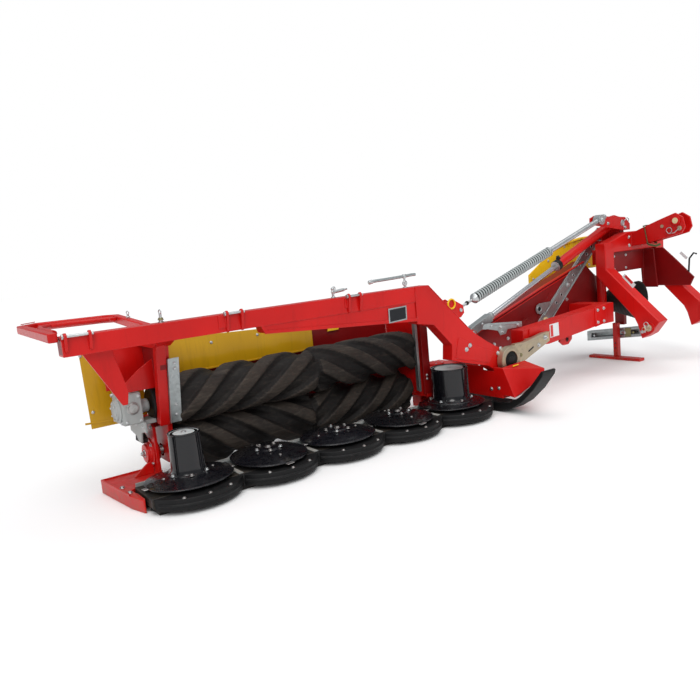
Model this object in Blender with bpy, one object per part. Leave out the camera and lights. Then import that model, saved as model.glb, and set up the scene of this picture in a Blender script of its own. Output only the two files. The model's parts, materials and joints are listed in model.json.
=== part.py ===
"""Side-mounted disc mower with a rubber-roll conditioner, parked on its skids and stand.

Metres, +Z up. X runs along the cutter bar from its outer end to the hitch, -Y is the
direction of travel. The shapes are drawn in a bar frame, whose origin is under the first
disc, and moved by SHIFT so that the whole machine stands on Z = 0, centred on the origin.
"""

import math

import bmesh
import bpy
from mathutils import Matrix, Vector

# ---------------------------------------------------------------- driving dimensions
SHIFT = Vector((-1.8130, -0.0872, 0.0))
PITCH = 0.42            # disc to disc
N_DISCS = 5
DISC_A, DISC_B = 0.210, 0.190   # half axes of an oval disc
BLADE_R = 0.222
DISC_Z = 0.088          # underside of the discs
DRUM_TOP = 0.313
DRUM1_R, DRUM5_R = 0.078, 0.108
BAR_Y0, BAR_Y1 = -0.115, 0.125
BAR_Z0, BAR_Z1 = 0.028, 0.075
ROLL_R = 0.130
ROLL_X0, ROLL_X1 = 0.045, 1.58
ROLL_UP = (0.262, 0.415)  # y, z of the upper roll's axis
ROLL_LO = (0.335, 0.160)
BEAM_Y0, BEAM_Y1 = -0.118, -0.038
BEAM_Z0, BEAM_Z1 = 0.745, 0.826
BEAM_X0 = -0.485
PIVOT = (2.05, 0.305)   # x, z of the pin that the bar folds about
ROD_EYE = (1.985, 0.465)
CYL_TOP = (3.58, 1.07)
CYL_Y = 0.125
SPRING_EYE = (1.775, 0.645)
SPRING_TOP = (3.24, 1.105)
SPRING_Y = 0.0
LEG_X = (3.30, 4.08)    # outer faces' x of the two hitch legs
PTO = (3.60, 0.49)      # x, z of the input shaft
STAND_Y = 0.20

# ---------------------------------------------------------------- scene and materials
for old in list(bpy.data.objects):
    bpy.data.objects.remove(old, do_unlink=True)


def material(name, color, rough, metal):
    m = bpy.data.materials.new(name)
    m.use_nodes = True
    b = m.node_tree.nodes["Principled BSDF"]
    b.inputs["Base Color"].default_value = (*color, 1)
    b.inputs["Roughness"].default_value = rough
    b.inputs["Metallic"].default_value = metal
    m.diffuse_color = (*color, 1)
    return m


RED = material("red_paint", (0.60, 0.015, 0.010), 0.35, 0.0)
DARK_RED = material("dark_red_paint", (0.30, 0.008, 0.006), 0.4, 0.0)
YELLOW = material("yellow_sheet", (0.85, 0.50, 0.01), 0.45, 0.0)
BLACK = material("black_paint", (0.012, 0.012, 0.014), 0.3, 0.0)
RUBBER = material("black_rubber", (0.02, 0.018, 0.016), 0.8, 0.0)
ZINC = material("zinc_plate", (0.55, 0.57, 0.57), 0.35, 0.9)
TAN = material("yellow_zinc", (0.42, 0.32, 0.20), 0.4, 0.8)
CHROME = material("chrome_rod", (0.75, 0.76, 0.78), 0.12, 1.0)
CAST = material("cast_grey", (0.40, 0.41, 0.40), 0.5, 0.6)


# ---------------------------------------------------------------- shape helpers
def finish_mesh(bm, name, mat):
    bmesh.ops.remove_doubles(bm, verts=bm.verts, dist=1e-6)
    bmesh.ops.recalc_face_normals(bm, faces=bm.faces)
    me = bpy.data.meshes.new(name)
    bm.to_mesh(me)
    bm.free()
    ob = bpy.data.objects.new(name, me)
    bpy.context.scene.collection.objects.link(ob)
    if mat:
        me.materials.append(mat)
    return ob


def prism(name, outline, axis, lo, hi, mat=None):
    """An outline extruded along an axis. For Y the outline is (x, z), for X (y, z), for Z (x, y)."""
    def put(a, b, c):
        return {"Y": (a, c, b), "X": (c, a, b), "Z": (a, b, c)}[axis]
    bm = bmesh.new()
    low = [bm.verts.new(put(a, b, lo)) for a, b in outline]
    face = bm.faces.new(low)
    out = bmesh.ops.extrude_face_region(bm, geom=[face])
    delta = Vector(put(0, 0, hi - lo))
    bmesh.ops.translate(bm, vec=delta, verts=[v for v in out["geom"] if isinstance(v, bmesh.types.BMVert)])
    return finish_mesh(bm, name, mat)


def block(name, x0, x1, y0, y1, z0, z1, mat=None):
    return prism(name, [(x0, y0), (x1, y0), (x1, y1), (x0, y1)], "Z", z0, z1, mat)


def hull(name, points, mat=None):
    bm = bmesh.new()
    for p in points:
        bm.verts.new(p)
    out = bmesh.ops.convex_hull(bm, input=bm.verts)
    bmesh.ops.delete(bm, geom=[v for v in out["geom_interior"] if isinstance(v, bmesh.types.BMVert)], context="VERTS")
    return finish_mesh(bm, name, mat)


def rod(name, a, b, radius, mat=None, sides=20, radius2=None):
    """A round bar from a to b, or a cone with radius2."""
    a, b = Vector(a), Vector(b)
    bm = bmesh.new()
    bmesh.ops.create_cone(bm, cap_ends=True, segments=sides, radius1=radius,
                          radius2=radius if radius2 is None else radius2, depth=(b - a).length)
    turn = (b - a).to_track_quat("Z", "Y").to_matrix().to_4x4()
    bmesh.ops.transform(bm, matrix=Matrix.Translation((a + b) / 2) @ turn, verts=bm.verts)
    return finish_mesh(bm, name, mat)


def turned(name, profile, centre, mat=None, sides=32, squeeze=(1, 1), angle=0.0):
    """A profile of (radius, z) points turned round Z; squeeze makes it oval."""
    bm = bmesh.new()
    ring = [bm.verts.new((r, 0, z)) for r, z in profile]
    edges = [bm.edges.new((ring[i], ring[i + 1])) for i in range(len(ring) - 1)]
    bmesh.ops.spin(bm, geom=ring + edges, axis=(0, 0, 1), cent=(0, 0, 0), steps=sides, angle=2 * math.pi)
    bmesh.ops.remove_doubles(bm, verts=bm.verts, dist=1e-5)
    m = Matrix.Translation(centre) @ Matrix.Rotation(angle, 4, "Z") @ Matrix.Diagonal((squeeze[0], squeeze[1], 1, 1))
    bmesh.ops.transform(bm, matrix=m, verts=bm.verts)
    return finish_mesh(bm, name, mat)


def bar(name, a, b, width, height, mat=None, up=(0, 0, 1)):
    """A rectangular bar from a to b; height is measured along up."""
    a, b, up = Vector(a), Vector(b), Vector(up)
    along = (b - a).normalized()
    side = along.cross(up).normalized()
    top = side.cross(along).normalized()
    bm = bmesh.new()
    rings = []
    for p in (a, b):
        rings.append([bm.verts.new(p + side * width / 2 * s + top * height / 2 * t)
                      for s, t in ((-1, -1), (1, -1), (1, 1), (-1, 1))])
    bm.faces.new(rings[0])
    bm.faces.new(rings[1])
    for i in range(4):
        bm.faces.new((rings[0][i], rings[0][(i + 1) % 4], rings[1][(i + 1) % 4], rings[1][i]))
    return finish_mesh(bm, name, mat)


def path_tube(name, points, radius, mat=None, sides=4, twist=math.pi / 4):
    """A tube through points with mitred corners; four sides make a square tube."""
    pts = [Vector(p) for p in points]
    bm = bmesh.new()
    rings = []
    for i, p in enumerate(pts):
        t0 = (p - pts[i - 1]).normalized() if i else (pts[1] - p).normalized()
        t1 = (pts[i + 1] - p).normalized() if i < len(pts) - 1 else t0
        t = (t0 + t1).normalized()
        side = t.cross(Vector((0, 0, 1))).normalized()
        top = side.cross(t).normalized()
        stretch = 1 / max(0.3, t.dot(t1))
        rings.append([bm.verts.new(p + side * math.cos(twist + k * 2 * math.pi / sides) * radius * stretch
                                   + top * math.sin(twist + k * 2 * math.pi / sides) * radius)
                      for k in range(sides)])
    bm.faces.new(rings[0])
    bm.faces.new(rings[-1])
    for a, b in zip(rings, rings[1:]):
        for k in range(sides):
            bm.faces.new((a[k], a[(k + 1) % sides], b[(k + 1) % sides], b[k]))
    return finish_mesh(bm, name, mat)


def combine(name, first, others, operation="UNION", mat=None):
    """One body made from several with Booleans; the helpers are removed."""
    for other in others:
        mod = first.modifiers.new("b", "BOOLEAN")
        mod.operation = operation
        mod.solver = "EXACT"
        mod.object = other
        graph = bpy.context.evaluated_depsgraph_get()
        new = bpy.data.meshes.new_from_object(first.evaluated_get(graph))
        first.modifiers.clear()
        first.data = new
        bpy.data.objects.remove(other, do_unlink=True)
    first.name = name
    first.data.name = name
    first.data.materials.clear()
    if mat:
        first.data.materials.append(mat)
    return first


def circle(cx, cy, r, n=24, a0=0.0, a1=2 * math.pi):
    full = abs(a1 - a0 - 2 * math.pi) < 1e-9
    return [(cx + r * math.cos(a0 + (a1 - a0) * i / (n if full else n - 1)),
             cy + r * math.sin(a0 + (a1 - a0) * i / (n if full else n - 1))) for i in range(n)]


# ---------------------------------------------------------------- cutter bar
block("cutter_bar", -0.22, 1.925, BAR_Y0, BAR_Y1, BAR_Z0, BAR_Z1, CAST)
lobes = []
for k in range(N_DISCS):
    cx = PITCH * k
    lobes.append(prism("lobe", circle(cx, 0.0, 0.243, 24, math.radians(208 if k else 200), math.radians(332)), "Z", 0.018, 0.074))
guard_base = block("guard_base", -0.20, 1.9, -0.128, 0.10, 0.0, BAR_Z0 - 0.0005)
lip = block("lip", -0.20, 1.9, -0.128, -0.1155, 0.0, 0.074)
cut = block("cut", -0.3, 2.0, BAR_Y0 - 0.0005, 0.0, BAR_Z0 - 0.0005, 0.1)
guards = combine("rock_guards", guard_base, [lip] + lobes)
combine("rock_guards", guards, [cut], "DIFFERENCE", mat=BLACK)

# ---------------------------------------------------------------- discs
for k in range(N_DISCS):
    cx = PITCH * k
    ang = 0.0 if k % 2 == 0 else math.pi / 2
    end = k in (0, N_DISCS - 1)
    r0 = DISC_A
    prof = [(0.0, DISC_Z), (r0 * 0.8, DISC_Z), (r0, DISC_Z + 0.003), (r0, DISC_Z + 0.010),
            (r0 * 0.82, DISC_Z + 0.017), (r0 * 0.5, DISC_Z + 0.030), (r0 * 0.28, DISC_Z + 0.042), (0.0, DISC_Z + 0.044)]
    disc = turned("disc", prof, (cx, 0, 0), sides=40, squeeze=(1, DISC_B / DISC_A), angle=ang)
    extra = []
    for s in (0, math.pi):
        a = ang + s
        u = Vector((math.cos(a), math.sin(a), 0))
        extra.append(bar("blade", Vector((cx, 0, DISC_Z + 0.004)) + u * 0.14, Vector((cx, 0, DISC_Z + 0.004)) + u * BLADE_R, 0.046, 0.004))
    if end:
        r = DRUM1_R if k == 0 else DRUM5_R
        top = r * (0.94 if k == 0 else 1.02)
        extra.append(turned("drum", [(0.0, DISC_Z + 0.02), (r * 1.25, DISC_Z + 0.02), (r * 1.22, DISC_Z + 0.035),
                                     (r, DISC_Z + 0.05), (top, DRUM_TOP), (top - 0.007, DRUM_TOP),
                                     (top - 0.007, DRUM_TOP - 0.05), (0.0, DRUM_TOP - 0.05)], (cx, 0, 0), sides=32))
    disc = combine(f"disc_{k + 1}", disc, extra, mat=BLACK)

# ---------------------------------------------------------------- skids and shoes
prism("outer_shoe", [(-0.300, 0.40), (-0.265, 0.06), (-0.238, -0.05), (-0.2300, -0.05), (-0.2300, 0.14), (-0.02, 0.17), (-0.02, 0.40)], "Z", 0.0, 0.062, RED)
shoe = hull("inner_shoe", [(1.93, -0.18, 0.12), (1.93, -0.18, 0.275), (1.93, -0.20, 0.275), (1.93, -0.28, 0.105),
                           (2.15, -0.18, 0.085), (2.15, -0.18, 0.285), (2.15, -0.33, 0.25), (2.15, -0.33, 0.205), (2.15, -0.28, 0.15)])
side = prism("side", [(0.12, 0.10), (0.12, 0.275), (-0.030, 0.275), (-0.030, 0.25), (-0.125, 0.25), (-0.125, 0.275), (-0.19, 0.275), (-0.24, 0.11)], "X", 1.93, 1.944)
floor = block("floor", 1.93, 2.14, -0.19, 0.12, 0.09, 0.19)
combine("inner_shoe", shoe, [side, floor], mat=RED)
skid_pts = [(0.25, 0.0), (-0.10, 0.0), (-0.16, 0.006), (-0.24, 0.030), (-0.32, 0.078), (-0.41, 0.160), (-0.485, 0.252),
            (-0.492, 0.278), (-0.478, 0.282), (-0.395, 0.185), (-0.305, 0.108), (-0.23, 0.068), (-0.17, 0.058), (0.25, 0.058)]
prism("inner_skid", skid_pts, "X", 1.935, 2.05, BLACK)

# ---------------------------------------------------------------- carrying beam and gooseneck
beam = block("main_beam", BEAM_X0, 1.36, BEAM_Y0, BEAM_Y1, BEAM_Z0, BEAM_Z1)
stiff = prism("stiff", [(0.40, BEAM_Z0 + 0.01), (0.415, 0.71), (1.20, 0.652), (1.36, 0.640), (1.36, BEAM_Z0 + 0.01)], "Y", BEAM_Y0 + 0.004, BEAM_Y1 - 0.004)
combine("main_beam", beam, [stiff], mat=RED)
neck = prism("gooseneck", [(1.3605, 0.826), (1.462, 0.826), (1.74, 0.555), (1.80, 0.505), (1.90, 0.44), (2.00, 0.385), (2.075, 0.375),
                           (2.12, 0.345), (2.128, 0.30), (2.11, 0.25), (2.05, 0.225), (1.98, 0.235), (1.90, 0.29), (1.66, 0.355), (1.60, 0.375), (1.61, 0.465),
                           (1.48, 0.60), (1.3605, 0.62)], "Y", BEAM_Y0, BEAM_Y1)
hole = rod("hole", (PIVOT[0], -0.3, PIVOT[1]), (PIVOT[0], 0.3, PIVOT[1]), 0.0405, sides=28)
neck = combine("gooseneck", neck, [hole], "DIFFERENCE")
# two lugs behind the frame that take the cylinder's rod eye, on a cross tube
lug_shape = [(1.955, 0.335), (1.945, 0.38), (1.958, 0.475), (1.985, 0.492), (2.012, 0.475), (2.03, 0.38), (2.01, 0.335)]
lug_a = prism("lug", lug_shape, "Y", CYL_Y - 0.050, CYL_Y - 0.040)
lug_b = prism("lug", lug_shape, "Y", CYL_Y + 0.040, CYL_Y + 0.050)
cross = rod("cross", (1.985, BEAM_Y1 - 0.02, 0.355), (1.985, CYL_Y + 0.055, 0.355), 0.018, sides=16)
combine("gooseneck", neck, [lug_a, lug_b, cross], mat=RED)
# spring bracket on the gooseneck's back
br_shape = [(1.66, 0.645), (1.66, 0.70), (1.72, 0.72), (1.80, 0.67), (1.805, 0.625), (1.77, 0.60), (1.72, 0.60)]
br = prism("spring_bracket", [(1.64, 0.66), (1.66, 0.70), (1.72, 0.715), (1.80, 0.67), (1.805, 0.625), (1.775, 0.60), (1.70, 0.605)], "Y", -0.0375, -0.0275)
br2 = prism("br2", [(1.64, 0.66), (1.66, 0.70), (1.72, 0.715), (1.80, 0.67), (1.805, 0.625), (1.775, 0.60), (1.70, 0.605)], "Y", 0.0275, 0.0375)
web = bar("web", (1.665, 0.0, 0.655), (1.70, 0.0, 0.70), 0.07, 0.012)
combine("spring_bracket", br, [br2, web], mat=RED)

# ---------------------------------------------------------------- outer end
block_post = prism("outer_side", [(0.075, 0.80), (0.345, 0.745), (0.345, 0.60), (0.40, 0.45), (0.42, 0.110), (0.25, 0.110), (0.215, 0.20), (0.19, 0.32), (0.10, 0.70)], "X", -0.002, 0.020)
top_arm = prism("top_arm", [(-0.0375, 0.76), (-0.0375, 0.82), (0.12, 0.80), (0.34, 0.745), (0.34, 0.70), (0.10, 0.70)], "X", -0.055, 0.03)
low = prism("low", [(0.24, 0.0625), (0.25, 0.30), (0.29, 0.335), (0.42, 0.335), (0.42, 0.0625)], "X", -0.060, -0.046)
tie = block("tie", -0.060, 0.01, 0.375, 0.42, 0.27, 0.335)
outer = combine("outer_side", block_post, [top_arm, low, tie])
bore1 = rod("bore1", (-0.10, *ROLL_UP), (0.1, *ROLL_UP), 0.034, sides=20)
bore2 = rod("bore2", (-0.10, *ROLL_LO), (0.1, *ROLL_LO), 0.034, sides=20)
outer = combine("outer_side", outer, [bore1, bore2], "DIFFERENCE")
hub = rod("hub", (-0.060, *ROLL_LO), (-0.022, *ROLL_LO), 0.045, sides=24)
hub_flange = rod("hub_flange", (-0.076, *ROLL_LO), (-0.058, *ROLL_LO), 0.056, sides=24)
plate = block("mount_plate", -0.22, 0.010, 0.355, 0.365, 0.50, 0.72)
combine("outer_side", outer, [hub, hub_flange, plate], mat=RED)
prism("outer_brace", [(-0.405, 0.7445), (-0.285, 0.7445), (-0.240, 0.56), (-0.250, 0.50), (-0.272, 0.50)], "Y", -0.075, -0.063, RED)
hb = block("roll_gearbox", -0.205, -0.108, 0.20, 0.345, 0.345, 0.495)
hb3 = rod("hb3", (-0.120, *ROLL_UP), (-0.062, *ROLL_UP), 0.032, sides=20)
hb2 = rod("hb2", (-0.18, *ROLL_UP), (-0.225, *ROLL_UP), 0.05, sides=20)
combine("roll_gearbox", hb, [hb2, hb3], mat=CAST)

# guard hoop round the outer end
path_tube("guard_hoop", [(-0.51, -0.10, 0.826 - 0.0), (-0.51, 0.57, 0.832), (-0.43, 0.645, 0.832), (-0.13, 0.56, 0.832), (-0.085, 0.50, 0.832),
                         (-0.085, -0.0300, 0.797)], 0.027, RED)
prism("outer_panel", [(-0.297, 0.318), (-0.02, 0.318), (-0.02, 0.70), (-0.305, 0.70)], "Y", 0.425, 0.431, YELLOW)
prism("rear_panel", [(0.03, 0.50), (1.02, 0.50), (1.02, 0.655), (0.03, 0.70)], "Y", 0.445, 0.452, YELLOW)
prism("rear_hood", [(0.03, 0.13), (1.595, 0.13), (1.595, 0.66), (1.03, 0.66), (1.03, 0.495), (0.03, 0.495)], "Y", 0.470, 0.478, DARK_RED)

# ---------------------------------------------------------------- inner end of the conditioner
inner = prism("inner_side", [(0.175, 0.68), (0.175, 0.125), (0.40, 0.125), (0.478, 0.20), (0.478, 0.66), (0.44, 0.68)], "X", 1.600, 1.614)
chan = block("chan", 1.61, 1.645, 0.13, 0.178, 0.125, 0.66)
link = block("link", 1.60, 1.645, -0.0375, 0.18, 0.57, 0.64)
inner = combine("inner_side", inner, [chan, link])
bore1 = rod("bore1", (1.55, *ROLL_UP), (1.70, *ROLL_UP), 0.034, sides=20)
bore2 = rod("bore2", (1.55, *ROLL_LO), (1.70, *ROLL_LO), 0.034, sides=20)
combine("inner_side", inner, [bore1, bore2], "DIFFERENCE", mat=RED)
case = block("bar_gearcase", 1.66, 1.92, 0.150, 0.34, 0.125, 0.29)
foot = block("foot", 1.66, 1.92, 0.255, 0.34, 0.03, 0.13)
combine("bar_gearcase", case, [foot], mat=RED)

# ---------------------------------------------------------------- rolls
def roll(name, axis, x0, x1):
    prof = [(0.0, ROLL_X0 - 0.001), (ROLL_R, ROLL_X0 - 0.001), (ROLL_R, ROLL_X1), (0.0, ROLL_X1)]
    body = rod(name, (ROLL_X0, *axis), (ROLL_X1, *axis), ROLL_R, sides=32)
    shaft = rod("shaft", (x0, *axis), (x1, *axis), 0.022, sides=20)
    return combine(name, body, [shaft], mat=RUBBER)


roll("roll_upper", ROLL_UP, -0.018, 1.64)
roll("roll_lower", ROLL_LO, -0.018, 1.64)
rod("roll_pulley", (-0.054, *ROLL_UP), (-0.0185, *ROLL_UP), 0.078, BLACK, sides=32)

# ---------------------------------------------------------------- arm to the hitch
arm = prism("lift_arm", [(1.975, 0.26), (1.985, 0.36), (2.14, 0.468), (2.84, 0.682), (3.30, 0.815), (3.45, 0.70), (3.50, 0.45), (3.42, 0.36),
                         (2.70, 0.29), (2.12, 0.225), (2.02, 0.235)], "Y", 0.200, 0.285)
lug = prism("lug", [(2.57, 0.38), (2.57, 0.44), (2.62, 0.47), (2.67, 0.45), (2.70, 0.38)], "Y", 0.180, 0.21)
arm = combine("lift_arm", arm, [lug])
combine("lift_arm", arm, [rod("hole", (PIVOT[0], 0.1, PIVOT[1]), (PIVOT[0], 0.3, PIVOT[1]), 0.0405, sides=28)], "DIFFERENCE", mat=DARK_RED)
fb = prism("front_beam", [(2.245, 0.455), (2.39, 0.462), (3.13, 0.514), (3.13, 0.385), (3.06, 0.378), (2.83, 0.357), (2.50, 0.33), (2.245, 0.345)], "Y", -0.100, 0.000)
fb2 = block("fb2", 3.12, 3.24, -0.09, 0.1995, 0.375, 0.515)
fb3 = prism("fb3", [(2.68, 0.36), (2.66, 0.315), (2.70, 0.285), (2.75, 0.285), (2.79, 0.315), (2.80, 0.37)], "Y", -0.060, -0.045)
combine("front_beam", fb, [fb2, fb3], mat=RED)
eye = prism("eye_arm", circle(PIVOT[0], PIVOT[1], 0.083, 28), "Y", -0.163, -0.125)
plate = prism("plate", [(2.05, 0.387), (2.20, 0.385), (2.38, 0.415), (2.44, 0.420), (2.44, 0.362), (2.22, 0.285), (2.05, 0.2225)], "Y", -0.150, -0.1255)
eye = combine("eye_arm", eye, [plate, block("pad", 2.25, 2.40, -0.13, -0.1005, 0.35, 0.40)])
combine("eye_arm", eye, [rod("hole", (PIVOT[0], -0.2, PIVOT[1]), (PIVOT[0], 0.0, PIVOT[1]), 0.050, sides=28)], "DIFFERENCE", mat=TAN)
pp = rod("pivot_pin", (PIVOT[0], -0.152, PIVOT[1]), (PIVOT[0], 0.285, PIVOT[1]), 0.0395, sides=28)
combine("pivot_pin", pp, [rod("collar", (PIVOT[0], -0.152, PIVOT[1]), (PIVOT[0], -0.124, PIVOT[1]), 0.0495, sides=28)], mat=BLACK)
prism("link_lever", [(2.02, 0.497), (2.02, 0.527), (2.30, 0.50), (2.335, 0.497), (2.335, 0.467), (2.20, 0.47)], "Y", -0.012, -0.004, ZINC)

# ---------------------------------------------------------------- headstock
def leg(name, x0, x1):
    top = [(0.085, 0.70), (0.085, 0.935), (0.0, 0.935), (0.0, 0.745), (-0.40, 0.375), (-0.33, 0.285), (-0.265, 0.25), (-0.235, 0.35), (-0.21, 0.40)]
    return prism(name, top, "X", x0, x1)


a = leg("headstock", LEG_X[0], LEG_X[0] + 0.11)
b = leg("b", LEG_X[1] - 0.11, LEG_X[1])
x0, x1 = LEG_X
mid = (x0 + x1) / 2
cb = prism("cb", [(x0 + 0.05, 0.86), (x0 + 0.05, 0.935), (mid - 0.10, 1.0), (mid + 0.10, 1.0), (x1 - 0.05, 0.935), (x1 - 0.05, 0.86)], "Y", 0.0, 0.085)
headstock = combine("headstock", a, [b, cb])
pins = [rod("pn", (x0 - 0.075, -0.325, 0.33), (x0 + 0.02, -0.325, 0.33), 0.014, sides=16),
        rod("pf", (x1 - 0.02, -0.325, 0.33), (x1 + 0.075, -0.325, 0.33), 0.014, sides=16)]
combine("headstock", headstock, pins, mat=RED)
bp = prism("back_panel", [(x0 + 0.1105, 0.8595), (x0 + 0.1105, 0.71), (mid + 0.135, 0.71), (mid + 0.15, 0.56), (x1 - 0.1105, 0.56), (x1 - 0.1105, 0.8595)], "Y", 0.03, 0.045)
rib = prism("rib", [(0.035, 0.56), (0.035, 0.855), (-0.05, 0.855), (-0.08, 0.56)], "X", mid + 0.15, mid + 0.162)
side = prism("side", [(0.04, 0.56), (0.04, 0.855), (-0.06, 0.855), (-0.16, 0.76), (-0.30, 0.62), (-0.27, 0.56)], "X", x1 - 0.123, x1 - 0.1105)
combine("back_panel", bp, [rib, side], mat=DARK_RED)
tl_shape = [(-0.0005, 0.89), (-0.0005, 0.985), (-0.06, 1.01), (-0.23, 1.07), (-0.34, 1.105), (-0.395, 1.07), (-0.41, 1.0), (-0.385, 0.96), (-0.30, 0.94), (-0.10, 0.90)]
t1 = prism("toplink_bracket", tl_shape, "X", mid - 0.055, mid - 0.040)
t2 = prism("t2", tl_shape, "X", mid + 0.040, mid + 0.055)
t3 = prism("t3", [(-0.0005, 0.89), (-0.0005, 0.985), (-0.22, 1.055), (-0.22, 0.93)], "X", mid - 0.05, mid + 0.05)
combine("toplink_bracket", t1, [t2, t3], mat=RED)
# mast with the cylinder's and the spring's top pins
m1 = prism("mast", [(3.50, 1.030), (3.19, 1.078), (3.19, 1.122), (3.24, 1.138), (3.45, 1.122), (3.62, 1.112), (3.68, 1.06), (3.68, 1.015), (3.60, 1.015)], "Y", 0.0355, 0.0455)
m1b = prism("m1b", [(3.53, 0.80), (3.53, 1.00), (3.54, 1.09), (3.60, 1.11), (3.68, 1.05), (3.74, 0.94), (3.74, 0.80)], "Y", 0.1785, 0.1905)
web2 = block("web2", 3.63, 3.68, 0.04, 0.185, 1.015, 1.06)
web3 = block("web3", 3.63, 3.68, 0.0885, 0.185, 0.93, 1.05)
mb = block("mb", 3.47, 3.74, 0.0885, 0.1875, 0.78, 0.95)
mb2 = block("mb2", 3.41, 3.48, 0.0985, 0.1875, 0.775, 0.885)
p1 = rod("p1", (CYL_TOP[0], 0.037, CYL_TOP[1]), (CYL_TOP[0], 0.185, CYL_TOP[1]), 0.0115, sides=16)
p2 = rod("p2", (SPRING_TOP[0], 0.0275, SPRING_TOP[1]), (SPRING_TOP[0], 0.04, SPRING_TOP[1]), 0.012, sides=12)
column = rod("column", (3.445, 0.14, 0.40), (3.445, 0.14, 0.80), 0.034, sides=20)
combine("mast", m1, [m1b, web2, web3, mb, mb2, p1, p2, column], mat=RED)
prism("height_strut", [(2.735, 0.400), (2.745, 0.424), (3.500, 1.052), (3.560, 1.046), (3.572, 0.985), (2.865, 0.412), (2.805, 0.374), (2.750, 0.378)], "Y", 0.1913, 0.1992, ZINC)

# ---------------------------------------------------------------- gearbox and shaft
g = block("pto_gearbox", 3.44, 3.86, 0.435, 0.60, 0.36, 0.66)
n1 = rod("n1", (PTO[0], 0.165, PTO[1]), (PTO[0], 0.44, PTO[1]), 0.058, sides=24)
n2 = rod("n2", (PTO[0], 0.40, PTO[1]), (PTO[0], 0.436, PTO[1]), 0.085, sides=24)
neck2 = combine("pto_gearbox", g, [n1, n2])
combine("pto_gearbox", neck2, [rod("b", (PTO[0], 0.0, PTO[1]), (PTO[0], 0.42, PTO[1]), 0.030, sides=20)], "DIFFERENCE", mat=RED)
cone_out = rod("pto_guard", (PTO[0], -0.06, PTO[1]), (PTO[0], 0.1645, PTO[1]), 0.142, sides=28, radius2=0.088)
cone_in = rod("cone_in", (PTO[0], -0.07, PTO[1]), (PTO[0], 0.2, PTO[1]), 0.1365, sides=28, radius2=0.0715)
combine("pto_guard", cone_out, [cone_in], "DIFFERENCE", mat=BLACK)
rod("input_shaft", (PTO[0], -0.03, PTO[1]), (PTO[0], 0.40, PTO[1]), 0.0195, CHROME, sides=20)
prism("stand_column", [(0.16, 0.27), (0.24, 0.27), (0.24, 0.44), (0.4345, 0.44), (0.4345, 0.50), (0.16, 0.50)], "X", 3.755, 3.795, DARK_RED)

# ---------------------------------------------------------------- parking stand
sb = prism("stand_bracket", [(0.49, 0.125), (0.49, 0.205), (-0.02, 0.269), (-0.02, 0.189)], "X", 3.735, 3.795)
slot = prism("slot", [(0.45, 0.155), (0.45, 0.190), (0.02, 0.243), (0.02, 0.208)], "X", 3.70, 3.785)
combine("stand_bracket", sb, [slot], "DIFFERENCE", mat=ZINC)
post = block("parking_stand", 3.690, 3.728, STAND_Y - 0.02, STAND_Y + 0.02, 0.02, 0.29)
combine("parking_stand", post, [prism("tfoot", [(3.665, 0.0), (3.665, 0.022), (3.729, 0.022), (3.729, 0.0)], "Y", -0.02, 0.43)], mat=RED)

# ---------------------------------------------------------------- rear guard of the arm
prism("rear_guard", [(2.87, 0.67), (2.87, 0.755), (3.23, 0.955), (3.50, 0.99), (3.88, 1.00), (3.95, 0.88), (3.86, 0.74), (3.48, 0.74)], "Y", 0.350, 0.356, YELLOW)

# ---------------------------------------------------------------- lift cylinder
def along(p, q, d):
    v = Vector((q[0] - p[0], q[1] - p[1])).normalized()
    return (p[0] + v.x * d, p[1] + v.y * d)


def at(p, y):
    return (p[0], y, p[1])


clen = math.dist(ROD_EYE, CYL_TOP)
gland = along(CYL_TOP, ROD_EYE, 0.74)
c = rod("cylinder_barrel", at(along(CYL_TOP, ROD_EYE, 0.018), CYL_Y), at(gland, CYL_Y), 0.0345, sides=24)
ce = rod("ce", at(CYL_TOP, CYL_Y - 0.024), at(CYL_TOP, CYL_Y + 0.024), 0.034, sides=24)
c = combine("cylinder_barrel", c, [ce])
bore = rod("bore", at(along(CYL_TOP, ROD_EYE, 0.09), CYL_Y), at(along(CYL_TOP, ROD_EYE, 0.80), CYL_Y), 0.0205, sides=20)
hole = rod("hole", at(CYL_TOP, 0.0), at(CYL_TOP, 0.2), 0.0125, sides=16)
combine("cylinder_barrel", c, [bore, hole], "DIFFERENCE", mat=RED)
r = rod("cylinder_rod", at(along(ROD_EYE, CYL_TOP, 0.02), CYL_Y), at(along(ROD_EYE, CYL_TOP, clen - 0.50), CYL_Y), 0.0175, sides=20)
sleeve = bar("sleeve", at(along(ROD_EYE, CYL_TOP, 0.02), CYL_Y), at(along(ROD_EYE, CYL_TOP, 0.22), CYL_Y), 0.05, 0.055)
re = rod("re", at(ROD_EYE, CYL_Y - 0.03), at(ROD_EYE, CYL_Y + 0.03), 0.03, sides=24)
pin = rod("pin", at(ROD_EYE, CYL_Y - 0.0385), at(ROD_EYE, CYL_Y + 0.0385), 0.0125, sides=16)
combine("cylinder_rod", r, [sleeve, re, pin], mat=CHROME)

# ---------------------------------------------------------------- relief spring
slen = math.dist(SPRING_EYE, SPRING_TOP)


def on_spring(d):
    return at(along(SPRING_EYE, SPRING_TOP, d), SPRING_Y)


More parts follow.
